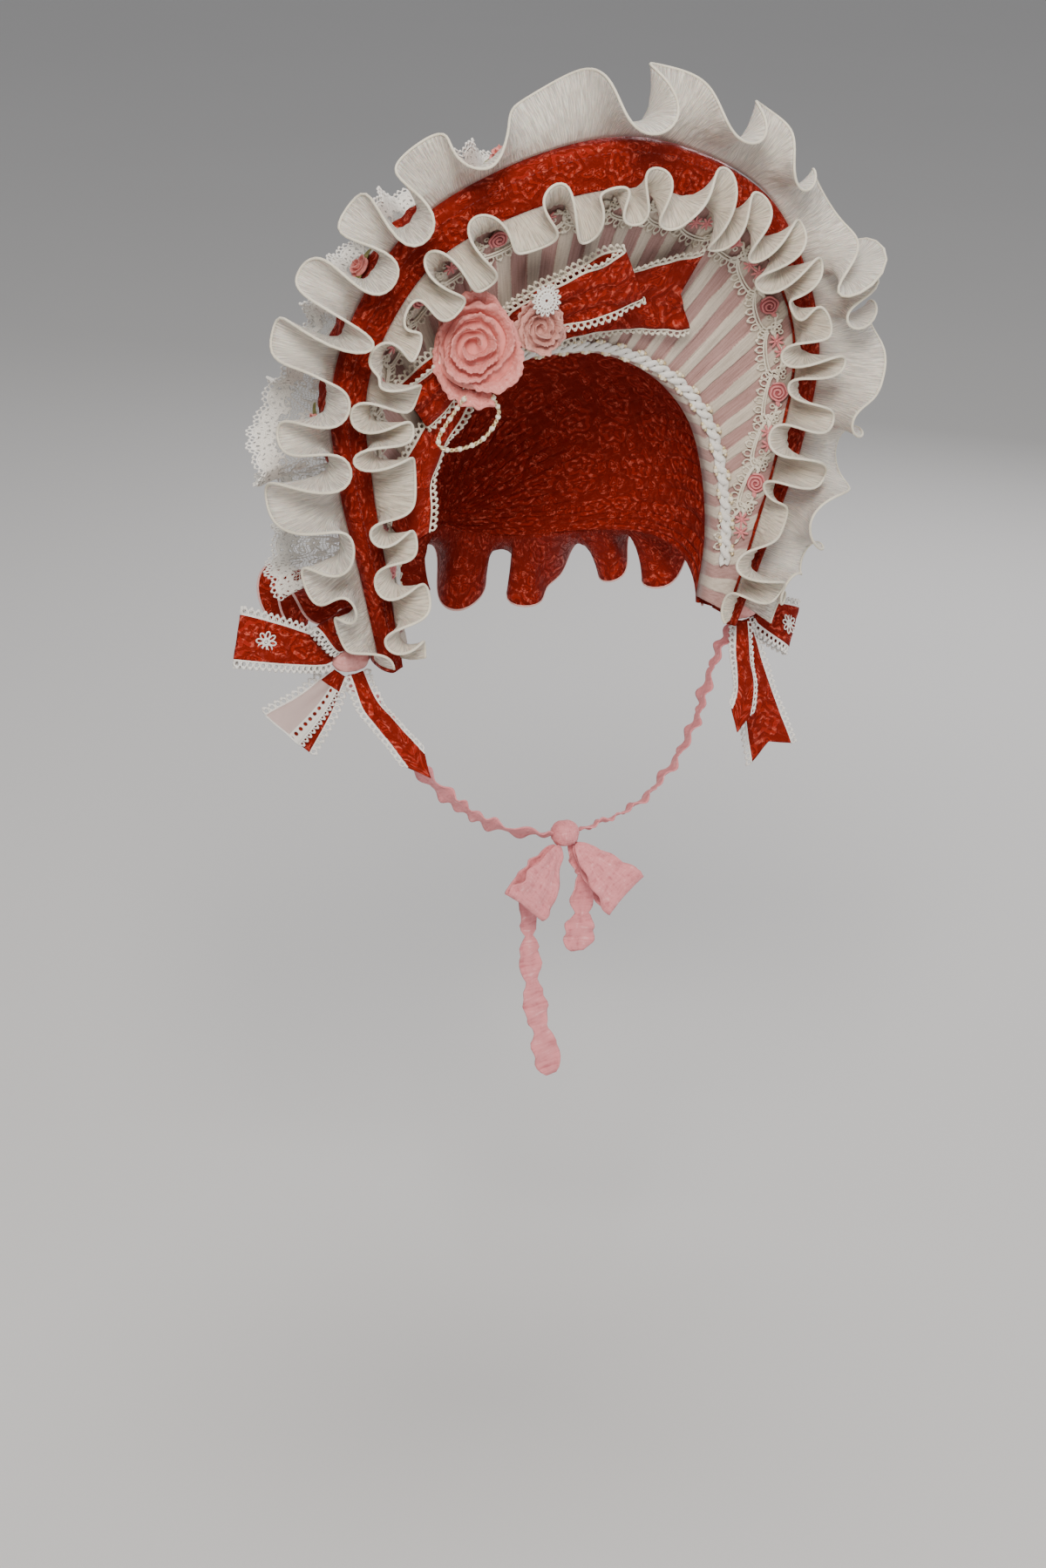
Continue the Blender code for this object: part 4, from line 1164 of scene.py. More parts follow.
@dataclass
class Ruffles:
    """The two chiffon ruffles, the net lace behind them and the neck ruffle."""

    form: BrimForm
    wardrobe: Wardrobe
    outer: Frill = Frill(33.0, 36.0, 43.0, 4.6, 0.7)
    inner: Frill = Frill(24.0, 94.0, 41.0, 3.6, 0.7)
    lace: Frill = Frill(37.0, -28.0, 24.0, 2.6, 0.5)
    neck: Frill = Frill(42.0, 0.0, 26.0, 4.0, 1.0)
    outer_folds: tuple[float, ...] = (-1.06, -0.96, -0.86, -0.76, -0.66, -0.56, -0.46, -0.37, -0.28,
                                      -0.19, -0.02, 0.145, 0.28, 0.42, 0.5, 0.636, 0.80, 0.91, 1.03)
    outer_end: float = 0.97
    outer_lift: float = 0.55
    outer_narrow: float = 0.42
    outer_narrow_u: float = 0.80
    inner_end: float = 0.98
    inner_narrow: float = 0.5
    inner_narrow_u: float = 0.88
    inner_lift: float = 0.2
    inner_spacing: float = 0.088
    lace_folds: int = 15
    lace_end: float = 0.84
    lace_share: float = 0.4
    lace_lift: float = 6.7
    lace_scallop: float = 11.5
    neck_folds: int = 11
    neck_taper: float = 0.14
    neck_lift: float = -0.6
    per_fold: int = 40
    lace_per_fold: int = 64
    rows: int = 13
    lace_rows: int = 18
    hem_radius: float = 0.75

    def build(self) -> None:
        """Make all four."""
        self._outer()
        self._inner()
        self._lace()
        self._neck()

    def _frill(self, name: str, node: str, grid: Array, frill: Frill, cloth: Material,
               hem: Material) -> None:
        """A strip with its rolled hem, and a log of its flat size."""
        run = run_length(grid[:, -1])
        shares = np.linspace(0.0, 1.0, grid.shape[1])
        place = stacked(run[:, None] * CM, shares * frill.width * CM)
        strip = sew(name, loft(grid, place), cloth, [node], frill.wall)
        edge = grid[:, -1]
        normal = standing(edge, edge - grid[:, -2])
        roll = sew(name + "_hem", tube(edge, normal, self.hem_radius), hem)
        cut_of(strip, grid)

    def _outer(self) -> None:
        """The wide ruffle behind the rim."""
        u = np.linspace(-self.outer_end, self.outer_end, (len(self.outer_folds) - 1) * self.per_fold)
        _, outward, forward, along = self.form.axes(u)
        row = self.form.rows[3]
        roots = self.form.near_rim(u, row.out + GAP + self.outer_lift, row.back + 1.0)
        phase = smooth_curve(self.outer_folds, np.arange(len(self.outer_folds)), u)
        taper = 1.0 - self.outer_narrow * smooth_step(np.abs(u), self.outer_narrow_u, self.outer_end)
        strip = Strip(roots, outward, forward, along, phase, taper)
        grid = strip.cloth_grid(self.outer, self.rows, 11)
        self._frill("outer_frill", "outer_ruffle", grid, self.outer, self.wardrobe.outer_chiffon,
                    self.wardrobe.hem)

    def _inner(self) -> None:
        """The narrower ruffle over the lining's seam."""
        folds = round(2.0 / self.inner_spacing)
        u = np.linspace(-self.inner_end, self.inner_end, folds * self.per_fold)
        _, outward, forward, along = self.form.axes(u)
        back = self.form.rows[0].back - GAP - self.inner_lift
        roots = self.form.near_rim(u, 1.0 - self.form.border_width(u), back)
        taper = 1.0 - self.inner_narrow * smooth_step(np.abs(u), self.inner_narrow_u, self.inner_end)
        strip = Strip(roots, outward, forward, along, u / self.inner_spacing, taper)
        grid = strip.cloth_grid(self.inner, self.rows, 12)
        self._frill("inner_frill", "inner_ruffle", grid, self.inner, self.wardrobe.inner_chiffon,
                    self.wardrobe.hem)

    def _lace(self) -> None:
        """Net lace above the crown seam, its hem cut in scallops with a corded edge."""
        u = np.linspace(-self.lace_end, self.lace_end, self.lace_folds * self.lace_per_fold)
        _, outward, forward, along = self.form.axes(u)
        behind = self.form.near_rim(u, self.form.rows[5].out, self.form.rows[5].back)
        roots = behind * (1 - self.lace_share) + self.form.crown_seam(u) * self.lace_share
        phase = (u / self.lace_end + 1.0) / 2.0 * self.lace_folds
        strip = Strip(roots + outward * self.lace_lift, outward, forward, along, phase)
        hem = run_length(strip.cloth_grid(self.lace, 2, 13)[:, -1])
        scallop = np.abs(np.sin(math.pi * hem / self.lace_scallop))
        strip.taper = 0.92 + 0.09 * scallop**0.7
        grid = strip.cloth_grid(self.lace, self.lace_rows, 13)
        shares = np.linspace(0.0, 1.0, self.lace_rows)
        place = stacked(hem[:, None] * CM, shares)
        net = sew("net_lace", loft(grid, place), self.wardrobe.net, ["back_lace"],
                  self.lace.wall)
        edge = grid[:, -1]
        outwards = unit(edge - grid[:, -2])
        cords = join([tube(edge, standing(edge, outwards), 0.55), picots(edge, outwards, 2.9, 1.3, 0.4)])
        trim = sew("net_lace_edge", cords, self.wardrobe.white_cotton)
        cut_of(net, grid)

    def _neck(self) -> None:
        """The brocade ruffle along the crown's lower edge."""
        nape = np.linspace(0.02, 1.0, 120)
        half = self.form.crown(np.ones(len(nape)), nape, self.form.crown_wall)
        whole = np.vstack((half, (half * np.array((-1.0, 1.0, 1.0)))[::-1][1:]))
        roots = even_path(whole, self.neck_folds * self.per_fold + 1)
        where = np.linspace(0.0, 1.0, len(roots))
        centre, radii = np.array(self.form.head_centre), np.array(self.form.head_radii)
        outward = unit((roots - centre) * np.array((1.0, 1.0, 0.25)) / radii**2)
        along = heading(roots)
        droop = 1.0 - np.abs(where - 0.5) * 2.0
        first = unit(outward - UP * (0.1 + 1.3 * droop[:, None]))
        second = unit(np.cross(along, first))
        taper = np.clip((0.5 - np.abs(where - 0.5)) / self.neck_taper, 0.1, 1.0)
        strip = Strip(roots + outward * (GAP + self.neck_lift), first, second, along,
                      where * self.neck_folds, taper)
        grid = strip.cloth_grid(self.neck, self.rows, 14)
        self._frill("neck_ruffle", "bavolet", grid, self.neck, self.wardrobe.brocade,
                    self.wardrobe.pink_hem)


# Ribbons

def picots(edge: Array, outwards: Array, space: float, size: float, thread: float) -> Patch:
    """Small thread loops along an edge, each with a knot at its tip.

    Args:
        edge: The edge's points.
        outwards: The way out of the cloth at each of them.
        space: Distance from one loop to the next.
        size: Half the width of a loop.
        thread: Radius of the thread.

    Returns:
        All the loops as one patch.
    """
    run = run_length(edge)
    count = max(int(run[-1] / space), 2)
    at = (np.arange(count) + 0.5) * run[-1] / count
    out = unit(read_at(outwards, run, at))
    along = square_to(read_at(np.gradient(edge, axis=0), run, at), out)
    axes = np.stack((along, out, np.cross(along, out)), axis=1)
    turn = np.linspace(-0.5 * math.pi, 1.5 * math.pi, 10, endpoint=False)
    ring = stacked(np.cos(turn) * size, (np.sin(turn) + 1.0) * size * 1.15, 0.0)
    loop = tube(ring, UP, thread, sides=4, closed=True)
    tip = flat_ball((thread * 2.0,) * 3).moved((0.0, size * 2.35, 0.0))
    return repeat(join([loop, tip]), read_at(edge, run, at), axes)


class LoopCut(NamedTuple):
    """A ribbon loop: the far end of its middle line, its widths and how far it bulges."""

    node: str
    tip: Point
    width_knot: float
    width_tip: float
    bulge: float


class TailCut(NamedTuple):
    """A ribbon end: points of its middle line, its widths, and its notch or, below 0, its point."""

    node: str
    points: tuple[Point, ...]
    width_start: float
    width_end: float
    notch: float


class Knot(NamedTuple):
    """The knot of a bow."""

    node: str
    centre: Point
    radii: Point
    toward: Point


@dataclass
class Bow:
    """A bow of ribbon round a knot, with loops, ends and an optional edging of picots."""

    knot: Knot
    loops: Sequence[LoopCut]
    tails: Sequence[TailCut]
    ribbon: Material
    slot: Slot
    edging: Material | None = None
    crumple: float = 0.9
    wall: float = 1.0
    loop_clearance: float = 1.6
    columns: int = 17
    loop_rows: int = 81
    tail_rows: int = 60
    edge_points: int = 160
    petal: float = 0.0
    seed: int = 30

    def build(self) -> None:
        """Make every loop and end."""
        for number, loop in enumerate(self.loops):
            self._ribbon(loop.node, self.loop_grid(loop, self.seed + number), 1)
        for number, tail in enumerate(self.tails):
            grid = self.tail_grid(tail, self.seed + 10 + number)
            petals = round(run_length(grid[:, 0])[-1] / self.petal) if self.petal else 0
            self._ribbon(tail.node, grid, petals)

    def _leave_knot(self, target: Sequence[float]) -> tuple[Array, Array]:
        """Way from the knot to a target, and the point just clear of the knot that way."""
        centre = np.array(self.knot.centre)
        out = unit(np.array(target, float) - centre)
        return out, centre + out * (np.linalg.norm(out * np.array(self.knot.radii)) + GAP)

    def loop_grid(self, loop: LoopCut, seed: int) -> Array:
        """A band out from the knot in front, round the tip and back behind.

        The reach follows a sine of the way round and the depth a cosine, and creases fan out
        from the knot.
        """
        tip = np.array(loop.tip)
        out, start = self._leave_knot(tip)
        toward = np.array(self.knot.toward)
        front = square_to(toward, out)
        across = np.cross(out, front)
        length = np.linalg.norm(tip - start)
        way_round = np.linspace(0.0, 1.0, self.loop_rows)
        reach = np.sin(math.pi * way_round) ** 0.85
        bulge = loop.bulge * np.sin(math.pi * way_round) ** 0.7
        depth = np.cos(math.pi * way_round) * (self.loop_clearance + bulge)
        width = loop.width_knot + (loop.width_tip - loop.width_knot) * np.sqrt(reach)
        side = np.linspace(-1.0, 1.0, self.columns)
        centre = start + reach[:, None] * out * length + depth[:, None] * front
        grid = centre[:, None] + across * (width[:, None] * side / 2.0)[..., None]
        fan = self.crumple * (1.0 - 0.45 * reach)[:, None] * np.sin(
            side * 7.5 + seed + 0.8 * ripple(centre, 30.0, seed)[:, None])
        soft = 0.8 * self.crumple * ripple(grid, 17.0, seed + 1)
        calm = np.minimum(1.0, (self.loop_clearance + np.abs(depth)) / 5.0)[:, None]
        lift = (fan * np.minimum(reach * 3.0, 1.0)[:, None] + soft * reach[:, None]) * calm
        return grid + front * (lift * np.sign(np.cos(math.pi * way_round))[:, None])[..., None]

    def tail_grid(self, tail: TailCut, seed: int) -> Array:
        """A flat band along its middle line, with a notch or a point at the end."""
        _, start = self._leave_knot(tail.points[0])
        centre = through(np.vstack((start, tail.points)), self.tail_rows)
        at = np.linspace(0.0, 1.0, self.tail_rows)
        along = heading(centre)
        front = square_to(np.array(self.knot.toward), along)
        across = np.cross(along, front)
        width = tail.width_start + (tail.width_end - tail.width_start) * at
        side = np.linspace(-1.0, 1.0, self.columns)
        shift = tail.notch * (np.abs(side) - 0.5) * (at**3)[:, None]
        grid = (centre[:, None] + across[:, None] * (width[:, None] * side / 2.0)[..., None]
                + along[:, None] * shift[..., None])
        fan = np.sin(side * 6.0 + seed + ripple(centre, 34.0, seed)[:, None]) * (1.0 - 0.6 * at)[:, None]
        lift = self.crumple * (0.8 * fan + 0.7 * ripple(grid, 19.0, seed + 1)) * np.minimum(
            at * 5.0, 1.0)[:, None]
        return grid + front[:, None] * lift[..., None]

    def _ribbon(self, node: str, grid: Array, petals: int) -> None:
        """One band of ribbon, its edging and a log of its flat size."""
        name = node + "_ribbon"
        if self.petal:
            grid = petal_edges(grid, petals, self.seed)
        band = sew(name, loft(grid), self.ribbon, [node], self.wall)
        if self.edging is not None:
            edges = []
            for last, inner in ((0, 1), (-1, -2)):
                edge = even_path(grid[:, last], self.edge_points)
                out = unit(edge - even_path(grid[:, inner], self.edge_points))
                edges += [tube(edge, standing(edge, out), 0.7), picots(edge, out, 3.5, 1.5, 0.52)]
            sew(name + "_picots", join(edges), self.edging)
        cut_of(band, grid)


BRIM_KNOT = Knot("bow_knot", (-52.0, -56.0, 22.0), (6.5, 7.4, 8.0), (-0.1, -0.88, -0.45))
BRIM_LOOPS = (
    LoopCut("bow_loop_right", (12.0, -86.0, 50.0), 8.0, 36.0, 4.5),
    LoopCut("bow_loop_left", (-97.0, -57.0, -16.0), 8.0, 32.0, 4.0),
)
BRIM_TAILS = (
    TailCut("bow_tail_right", ((-30.0, -46.5, 16.0), (15.0, -55.5, 28.0), (59.0, -61.0, 32.0)),
            8.0, 50.0, 9.0),
    TailCut("bow_tail_left", ((-50.0, -47.0, 2.0), (-70.0, -44.5, -22.0), (-91.0, -50.0, -54.0),
                              (-99.0, -57.0, -84.0)), 8.0, 24.0, -8.0),
)
SIDE_KNOT_U = 0.985
SIDE_KNOT_OUT = 13.1
SIDE_KNOT_BACK = 21.0
SIDE_KNOT_RADII = (11.0, 8.0, 8.0)
SIDE_LOOP_FACING = (0.0, -1.0, 0.3)
SIDE_LOOPS = {
    "left": (
        LoopCut("side_bow_left_loop_back", (-182.0, -28.0, -136.0), 8.0, 24.0, 6.0),
        LoopCut("side_bow_left_loop_front", (-130.0, -37.0, -128.0), 8.0, 26.0, 5.0),
    ),
    "right": (
        LoopCut("side_bow_right_loop_back", (157.0, -24.0, -174.0), 8.0, 24.0, 5.0),
        LoopCut("side_bow_right_loop_front", (128.0, -33.0, -134.0), 8.0, 24.0, 5.0),
    ),
}
SIDE_TAILS = {
    "left": (
        TailCut("side_bow_left_tail_back", ((-137.0, -27.0, -179.0), (-151.0, -22.0, -195.0)),
                8.0, 32.0, 0.0),
        TailCut("side_bow_left_tail_front",
                ((-113.0, -44.0, -178.0), (-105.0, -60.0, -192.0), (-95.0, -70.0, -207.0)),
                8.0, 12.0, -12.0),
    ),
    "right": (
        TailCut("side_bow_right_tail_back", ((127.0, -34.0, -198.0), (138.0, -37.0, -238.0)),
                8.0, 28.0, 7.0),
        TailCut("side_bow_right_tail_front",
                ((113.0, -44.0, -178.0), (107.0, -58.0, -192.0), (98.0, -68.0, -208.0)),
                8.0, 12.0, -12.0),
    ),
}


# Flowers, lace trims and beads

def axes_facing(facing: Sequence[float], up: Array = UP) -> Array:
    """Rows x, y and z of a frame whose z is a way to face and whose y leans to up."""
    z = unit(np.asarray(facing, float))
    x = unit(np.cross(up, z))
    return np.stack((x, np.cross(z, x), z), axis=-2)


def leaf_shape(length: float, width: float, rows: int = 9, columns: int = 7) -> Patch:
    """A leaf from the origin along x, folded a little along its middle."""
    t = np.linspace(0.0, 1.0, rows)[:, None]
    side = np.linspace(-1.0, 1.0, columns)[None]
    half = width * 0.5 * (np.sin(math.pi * np.clip(t, 0.02, 0.985)) ** 0.75)
    cup = 0.18 * width * np.abs(side) - 0.25 * length * (t - 0.4) ** 2
    return loft(stacked(t * length, side * half, cup))


def flat_ball(radii: Sequence[float], steps: int = 2) -> Patch:
    """A ball with its own radius each way."""
    shape = ball(steps)
    return Patch(shape.points * np.asarray(radii, float), shape.faces, shape.cloth)


def turned(shape: Patch, angle: float, offset: Sequence[float] = (0.0, 0.0, 0.0)) -> Patch:
    """A shape turned about z and moved."""
    cos, sin = math.cos(angle), math.sin(angle)
    matrix = np.array(((cos, sin, 0.0), (-sin, cos, 0.0), (0.0, 0.0, 1.0)))
    return Patch(shape.points @ matrix + np.asarray(offset, float), shape.faces, shape.cloth)


def placed(shape: Patch, centre: Sequence[float], axes: Array) -> Patch:
    """A shape in a frame of rows x, y and z at a centre."""
    return repeat(shape, np.asarray(centre, float)[None], axes[None])


@dataclass
class WoundRose:
    """A rose wound from one long ribbon, whose outer turns open like petals."""

    name: str
    nodes: Sequence[str]
    centres: Array
    axes: Array
    radius: float
    depth: float
    turns: float
    petals: float
    finish: Material
    seed: int
    per_turn: int = 216
    rows: int = 11
    band: float = 0.8
    crinkle: float = 0.03
    pleats: float = 36.0

    def winding(self) -> Patch:
        """The wound ribbon about the origin, facing +z."""
        turn = np.linspace(0.0, self.turns * TAU, int(self.turns * self.per_turn))[:, None]
        share = turn / turn[-1]
        up = np.linspace(0.0, 1.0, self.rows)[None]
        lobe = np.cos(self.petals * turn / 2.7 + 1.3 * np.sin(turn * 0.61 + self.seed))
        reach = self.radius * (0.05 + 0.79 * share**0.85) * (1.0 + 0.09 * lobe * (0.4 + 0.6 * share))
        flare = self.radius * (0.05 + 0.17 * share**1.2) * (1.0 + 0.45 * lobe)
        top = self.depth * (1.02 - 0.92 * share**2.2)
        top = top - 0.5 * self.depth * smooth_step(share, 0.94, 1.0)
        band = self.depth * self.band * (1.0 - 0.3 * share)
        out = reach + flare * up**1.6
        height = top - band * (1.0 - up) - 0.45 * band * share * np.clip(up - 0.72, 0.0, 1.0) * 3.0
        height = height + 0.16 * self.depth * lobe * up
        middle = (1.0 - share) * self.radius * 0.1
        grid = np.stack((out * np.cos(turn) - middle, out * np.sin(turn) + middle, height + 0 * turn), -1)
        stretched = grid * np.array((1.0, 1.0, 0.5))
        grid = grid + self.crinkle * self.radius * unit(grid + np.array((0.0, 0.0, 0.3))) * (
            ripple(stretched, self.radius * 0.3, self.seed)[..., None] * (0.3 + 0.7 * up[..., None]))
        grid[..., 2] += 0.05 * self.depth * up * ripple(grid, self.radius * 0.16, self.seed + 4)
        pleat = np.sin(self.pleats * turn + 3.0 * np.sin(2.3 * turn) + 2.5 * up)
        pleat = pleat * (0.4 + 0.6 * np.sin(1.7 * turn + self.seed) ** 2) * up
        grid = grid + 0.016 * self.radius * pleat[..., None] * unit(grid + np.array((0.0, 0.0, 0.3)))
        run = run_length(grid[:, self.rows // 2])[:, None]
        cloth = stacked(run * CM, up * self.depth * 2.2 * CM)
        return loft(grid, cloth)

    def pad(self) -> Patch:
        """The closed back on which the turns are sewn."""
        flat = flat_ball((self.radius * 0.84, self.radius * 0.84, self.depth * 0.42), 8)
        return flat.moved((0.0, 0.0, -self.depth * 0.32))

    def build(self) -> None:
        """One winding and one pad for each centre."""
        sew(self.name, repeat(self.winding(), self.centres, self.axes), self.finish,
            self.nodes, 0.5)
        sew(self.name + "_pad", repeat(self.pad(), self.centres, self.axes), self.finish)


@dataclass
class BowFlowers:
    """What is sewn on the brim bow: two roses, the crochet leaf and the string of beads."""

    wardrobe: Wardrobe
    big_centre: Point = (-71.0, -75.5, 17.0)
    big_facing: Point = (-0.35, -0.92, 0.10)
    big_radius: float = 26.0
    big_depth: float = 10.0
    small_centre: Point = (-36.0, -77.3, 24.0)
    small_facing: Point = (-0.20, -0.95, 0.10)
    small_radius: float = 15.0
    small_depth: float = 7.0
    leaf_centre: Point = (-37.0, -84.2, 40.0)
    leaf_radius: float = 7.0
    leaf_thread: float = 0.5
    bead_route: tuple[Point, ...] = (
        (-63.0, -77.5, -8.0), (-57.0, -73.0, -20.0), (-66.0, -71.0, -33.0), (-82.0, -68.0, -37.0),
        (-88.0, -67.0, -31.0), (-80.0, -70.0, -16.0), (-77.0, -75.0, -8.0))
    bead_space: float = 3.3
    pearl_radius: float = 1.45
    gold_radius: float = 0.95
    cord_radius: float = 0.5
    cord_pitch: float = 5.2

    def build(self) -> None:
        """Make all of them."""
        big = axes_facing(self.big_facing)
        WoundRose("big_rose_ribbon", ["big_rose"], np.array([self.big_centre]), big[None],
                  self.big_radius, self.big_depth, 4.8, 5.0, self.wardrobe.big_rose, 3).build()
        small = axes_facing(self.small_facing)
        WoundRose("small_rose_ribbon", ["small_rose"], np.array([self.small_centre]), small[None],
                  self.small_radius, self.small_depth, 4.0, 4.0, self.wardrobe.small_rose, 8,
                  crinkle=0.07).build()
        self._crochet_leaf()
        self._beads()

    def _crochet_leaf(self) -> None:
        """Rings of thread joined by spokes, with picots round the outer ring."""
        ring = circle(48) * self.leaf_radius
        parts = [tube(ring * share, UP, self.leaf_thread * 1.25, closed=True) for share in (0.2, 0.5, 0.78)]
        lengths = np.linspace(0.15, 0.82, 4) * self.leaf_radius
        spokes = circle(16)[:, None] * lengths[None, :, None]
        parts.append(tubes(spokes, UP, self.leaf_thread))
        edge = ring[[*range(len(ring)), 0]] * 0.8
        parts.append(picots(edge, edge, 2.3, 0.85, 0.42))
        sew("crochet_leaf_lace", placed(join(parts), self.leaf_centre, axes_facing(FACE_WAY)),
            self.wardrobe.white_cotton, ["crochet_leaf"])

    def _beads(self) -> None:
        """Pearls and gold beads in turn on two twisted cords."""
        path = even_path(through(self.bead_route, 400), 300)
        run = run_length(path)
        along = heading(path)
        side = unit(np.cross(along, FACE_WAY))
        front = np.cross(side, along)
        turn = run / self.cord_pitch * TAU
        cords = []
        for phase in (0.0, math.pi):
            lift = np.cos(turn + phase)[:, None] * side + np.sin(turn + phase)[:, None] * front
            cords.append(tube(path + lift * self.cord_radius * 1.3, front, self.cord_radius))
        sew("bead_cord", join(cords), self.wardrobe.gold, ["bead_loop"])
        count = int(run[-1] / self.bead_space)
        at = (np.arange(count) + 0.5) * run[-1] / count
        places = read_at(path, run, at)
        pearls = repeat(ball(4), places[::2], scale=self.pearl_radius)
        golds = repeat(ball(3), places[1::2], scale=self.gold_radius)
        sew("bead_pearls", pearls, self.wardrobe.pearl)
        sew("bead_gold", golds, self.wardrobe.gold)


@dataclass
class BrimRoses:
    """Little ribbon roses with olive leaves along the outside of the brim."""

    form: BrimForm
    wardrobe: Wardrobe
    places: tuple[float, ...] = (-0.62, -0.38, -0.15, 0.13, 0.38, 0.62)
    radius: float = 6.0
    flatness: float = 0.6
    back: float = 3.0
    leaf_length: float = 10.5
    leaf_width: float = 4.6

    def build(self) -> None:
        """Make the roses and their leaves."""
        u = np.array(self.places)
        row = self.form.rows[4]
        depth = self.radius * self.flatness
        centres = self.form.near_rim(u, row.out + depth, row.back + self.back)
        _, outward, _, along = self.form.axes(u)
        axes = np.stack((along, np.cross(outward, along), outward), axis=1)
        nodes = ["ribbon_rose_" + str(number) for number in range(1, len(u) + 1)]
        WoundRose("brim_roses", nodes, centres, axes, self.radius, depth, 2.6, 4.0,
                  self.wardrobe.big_rose, 5, per_turn=48, rows=6, band=1.2, pleats=9.0).build()
        leaf = leaf_shape(self.leaf_length, self.leaf_width)
        fan = [turned(leaf, angle) for angle in (0.35, 2.9, 3.6)]
        sew("brim_rose_leaves", repeat(join(fan), centres - outward * depth * 0.55, axes),
            self.wardrobe.leaf, wall=0.4)


@dataclass
class LiningMap:
    """Turns places along and down the lining's front into points.

    The run is measured along the seam where share is 1, or along the head edge where it is 0,
    and down is measured away from that edge over the lining.
    """

    form: BrimForm
    edge: float
    end: float

    def __post_init__(self) -> None:
        """Measure the edge."""
        self.u = np.linspace(-self.end, self.end, 1200)
        self.run = run_length(self.form.lining(self.u, self.edge))

    @property
    def length(self) -> float:
        """Length of the edge."""
        return float(self.run[-1])

    def place(self, run: Array, down: Array, lift: Array) -> Array:
        """Points at a run, a distance down and a height in front."""
        run, down, lift = np.broadcast_arrays(*(np.asarray(value, float) for value in (run, down, lift)))
        u = np.interp(run.ravel(), self.run, self.u)
        share = down.ravel() / self.form.lining_width(u)
        _, _, forward, _ = self.form.axes(u)
        points = self.form.lining(u, 1.0 - share if self.edge else share)
        return (points + forward * lift.ravel()[:, None]).reshape(*run.shape, 3)

    def axes(self, run: Array, down: Array) -> Array:
        """Ways along, down and out in front at each place, as rows."""
        here = self.place(run, down, 0.0)
        along = unit(self.place(run + 0.5, down, 0.0) - here)
        below = square_to(self.place(run, down + 0.5, 0.0) - here, along)
        front = np.cross(along, below)
        front = front * np.sign(front @ FACE_WAY)[..., None]
        return np.stack((along, below, front), axis=-2)


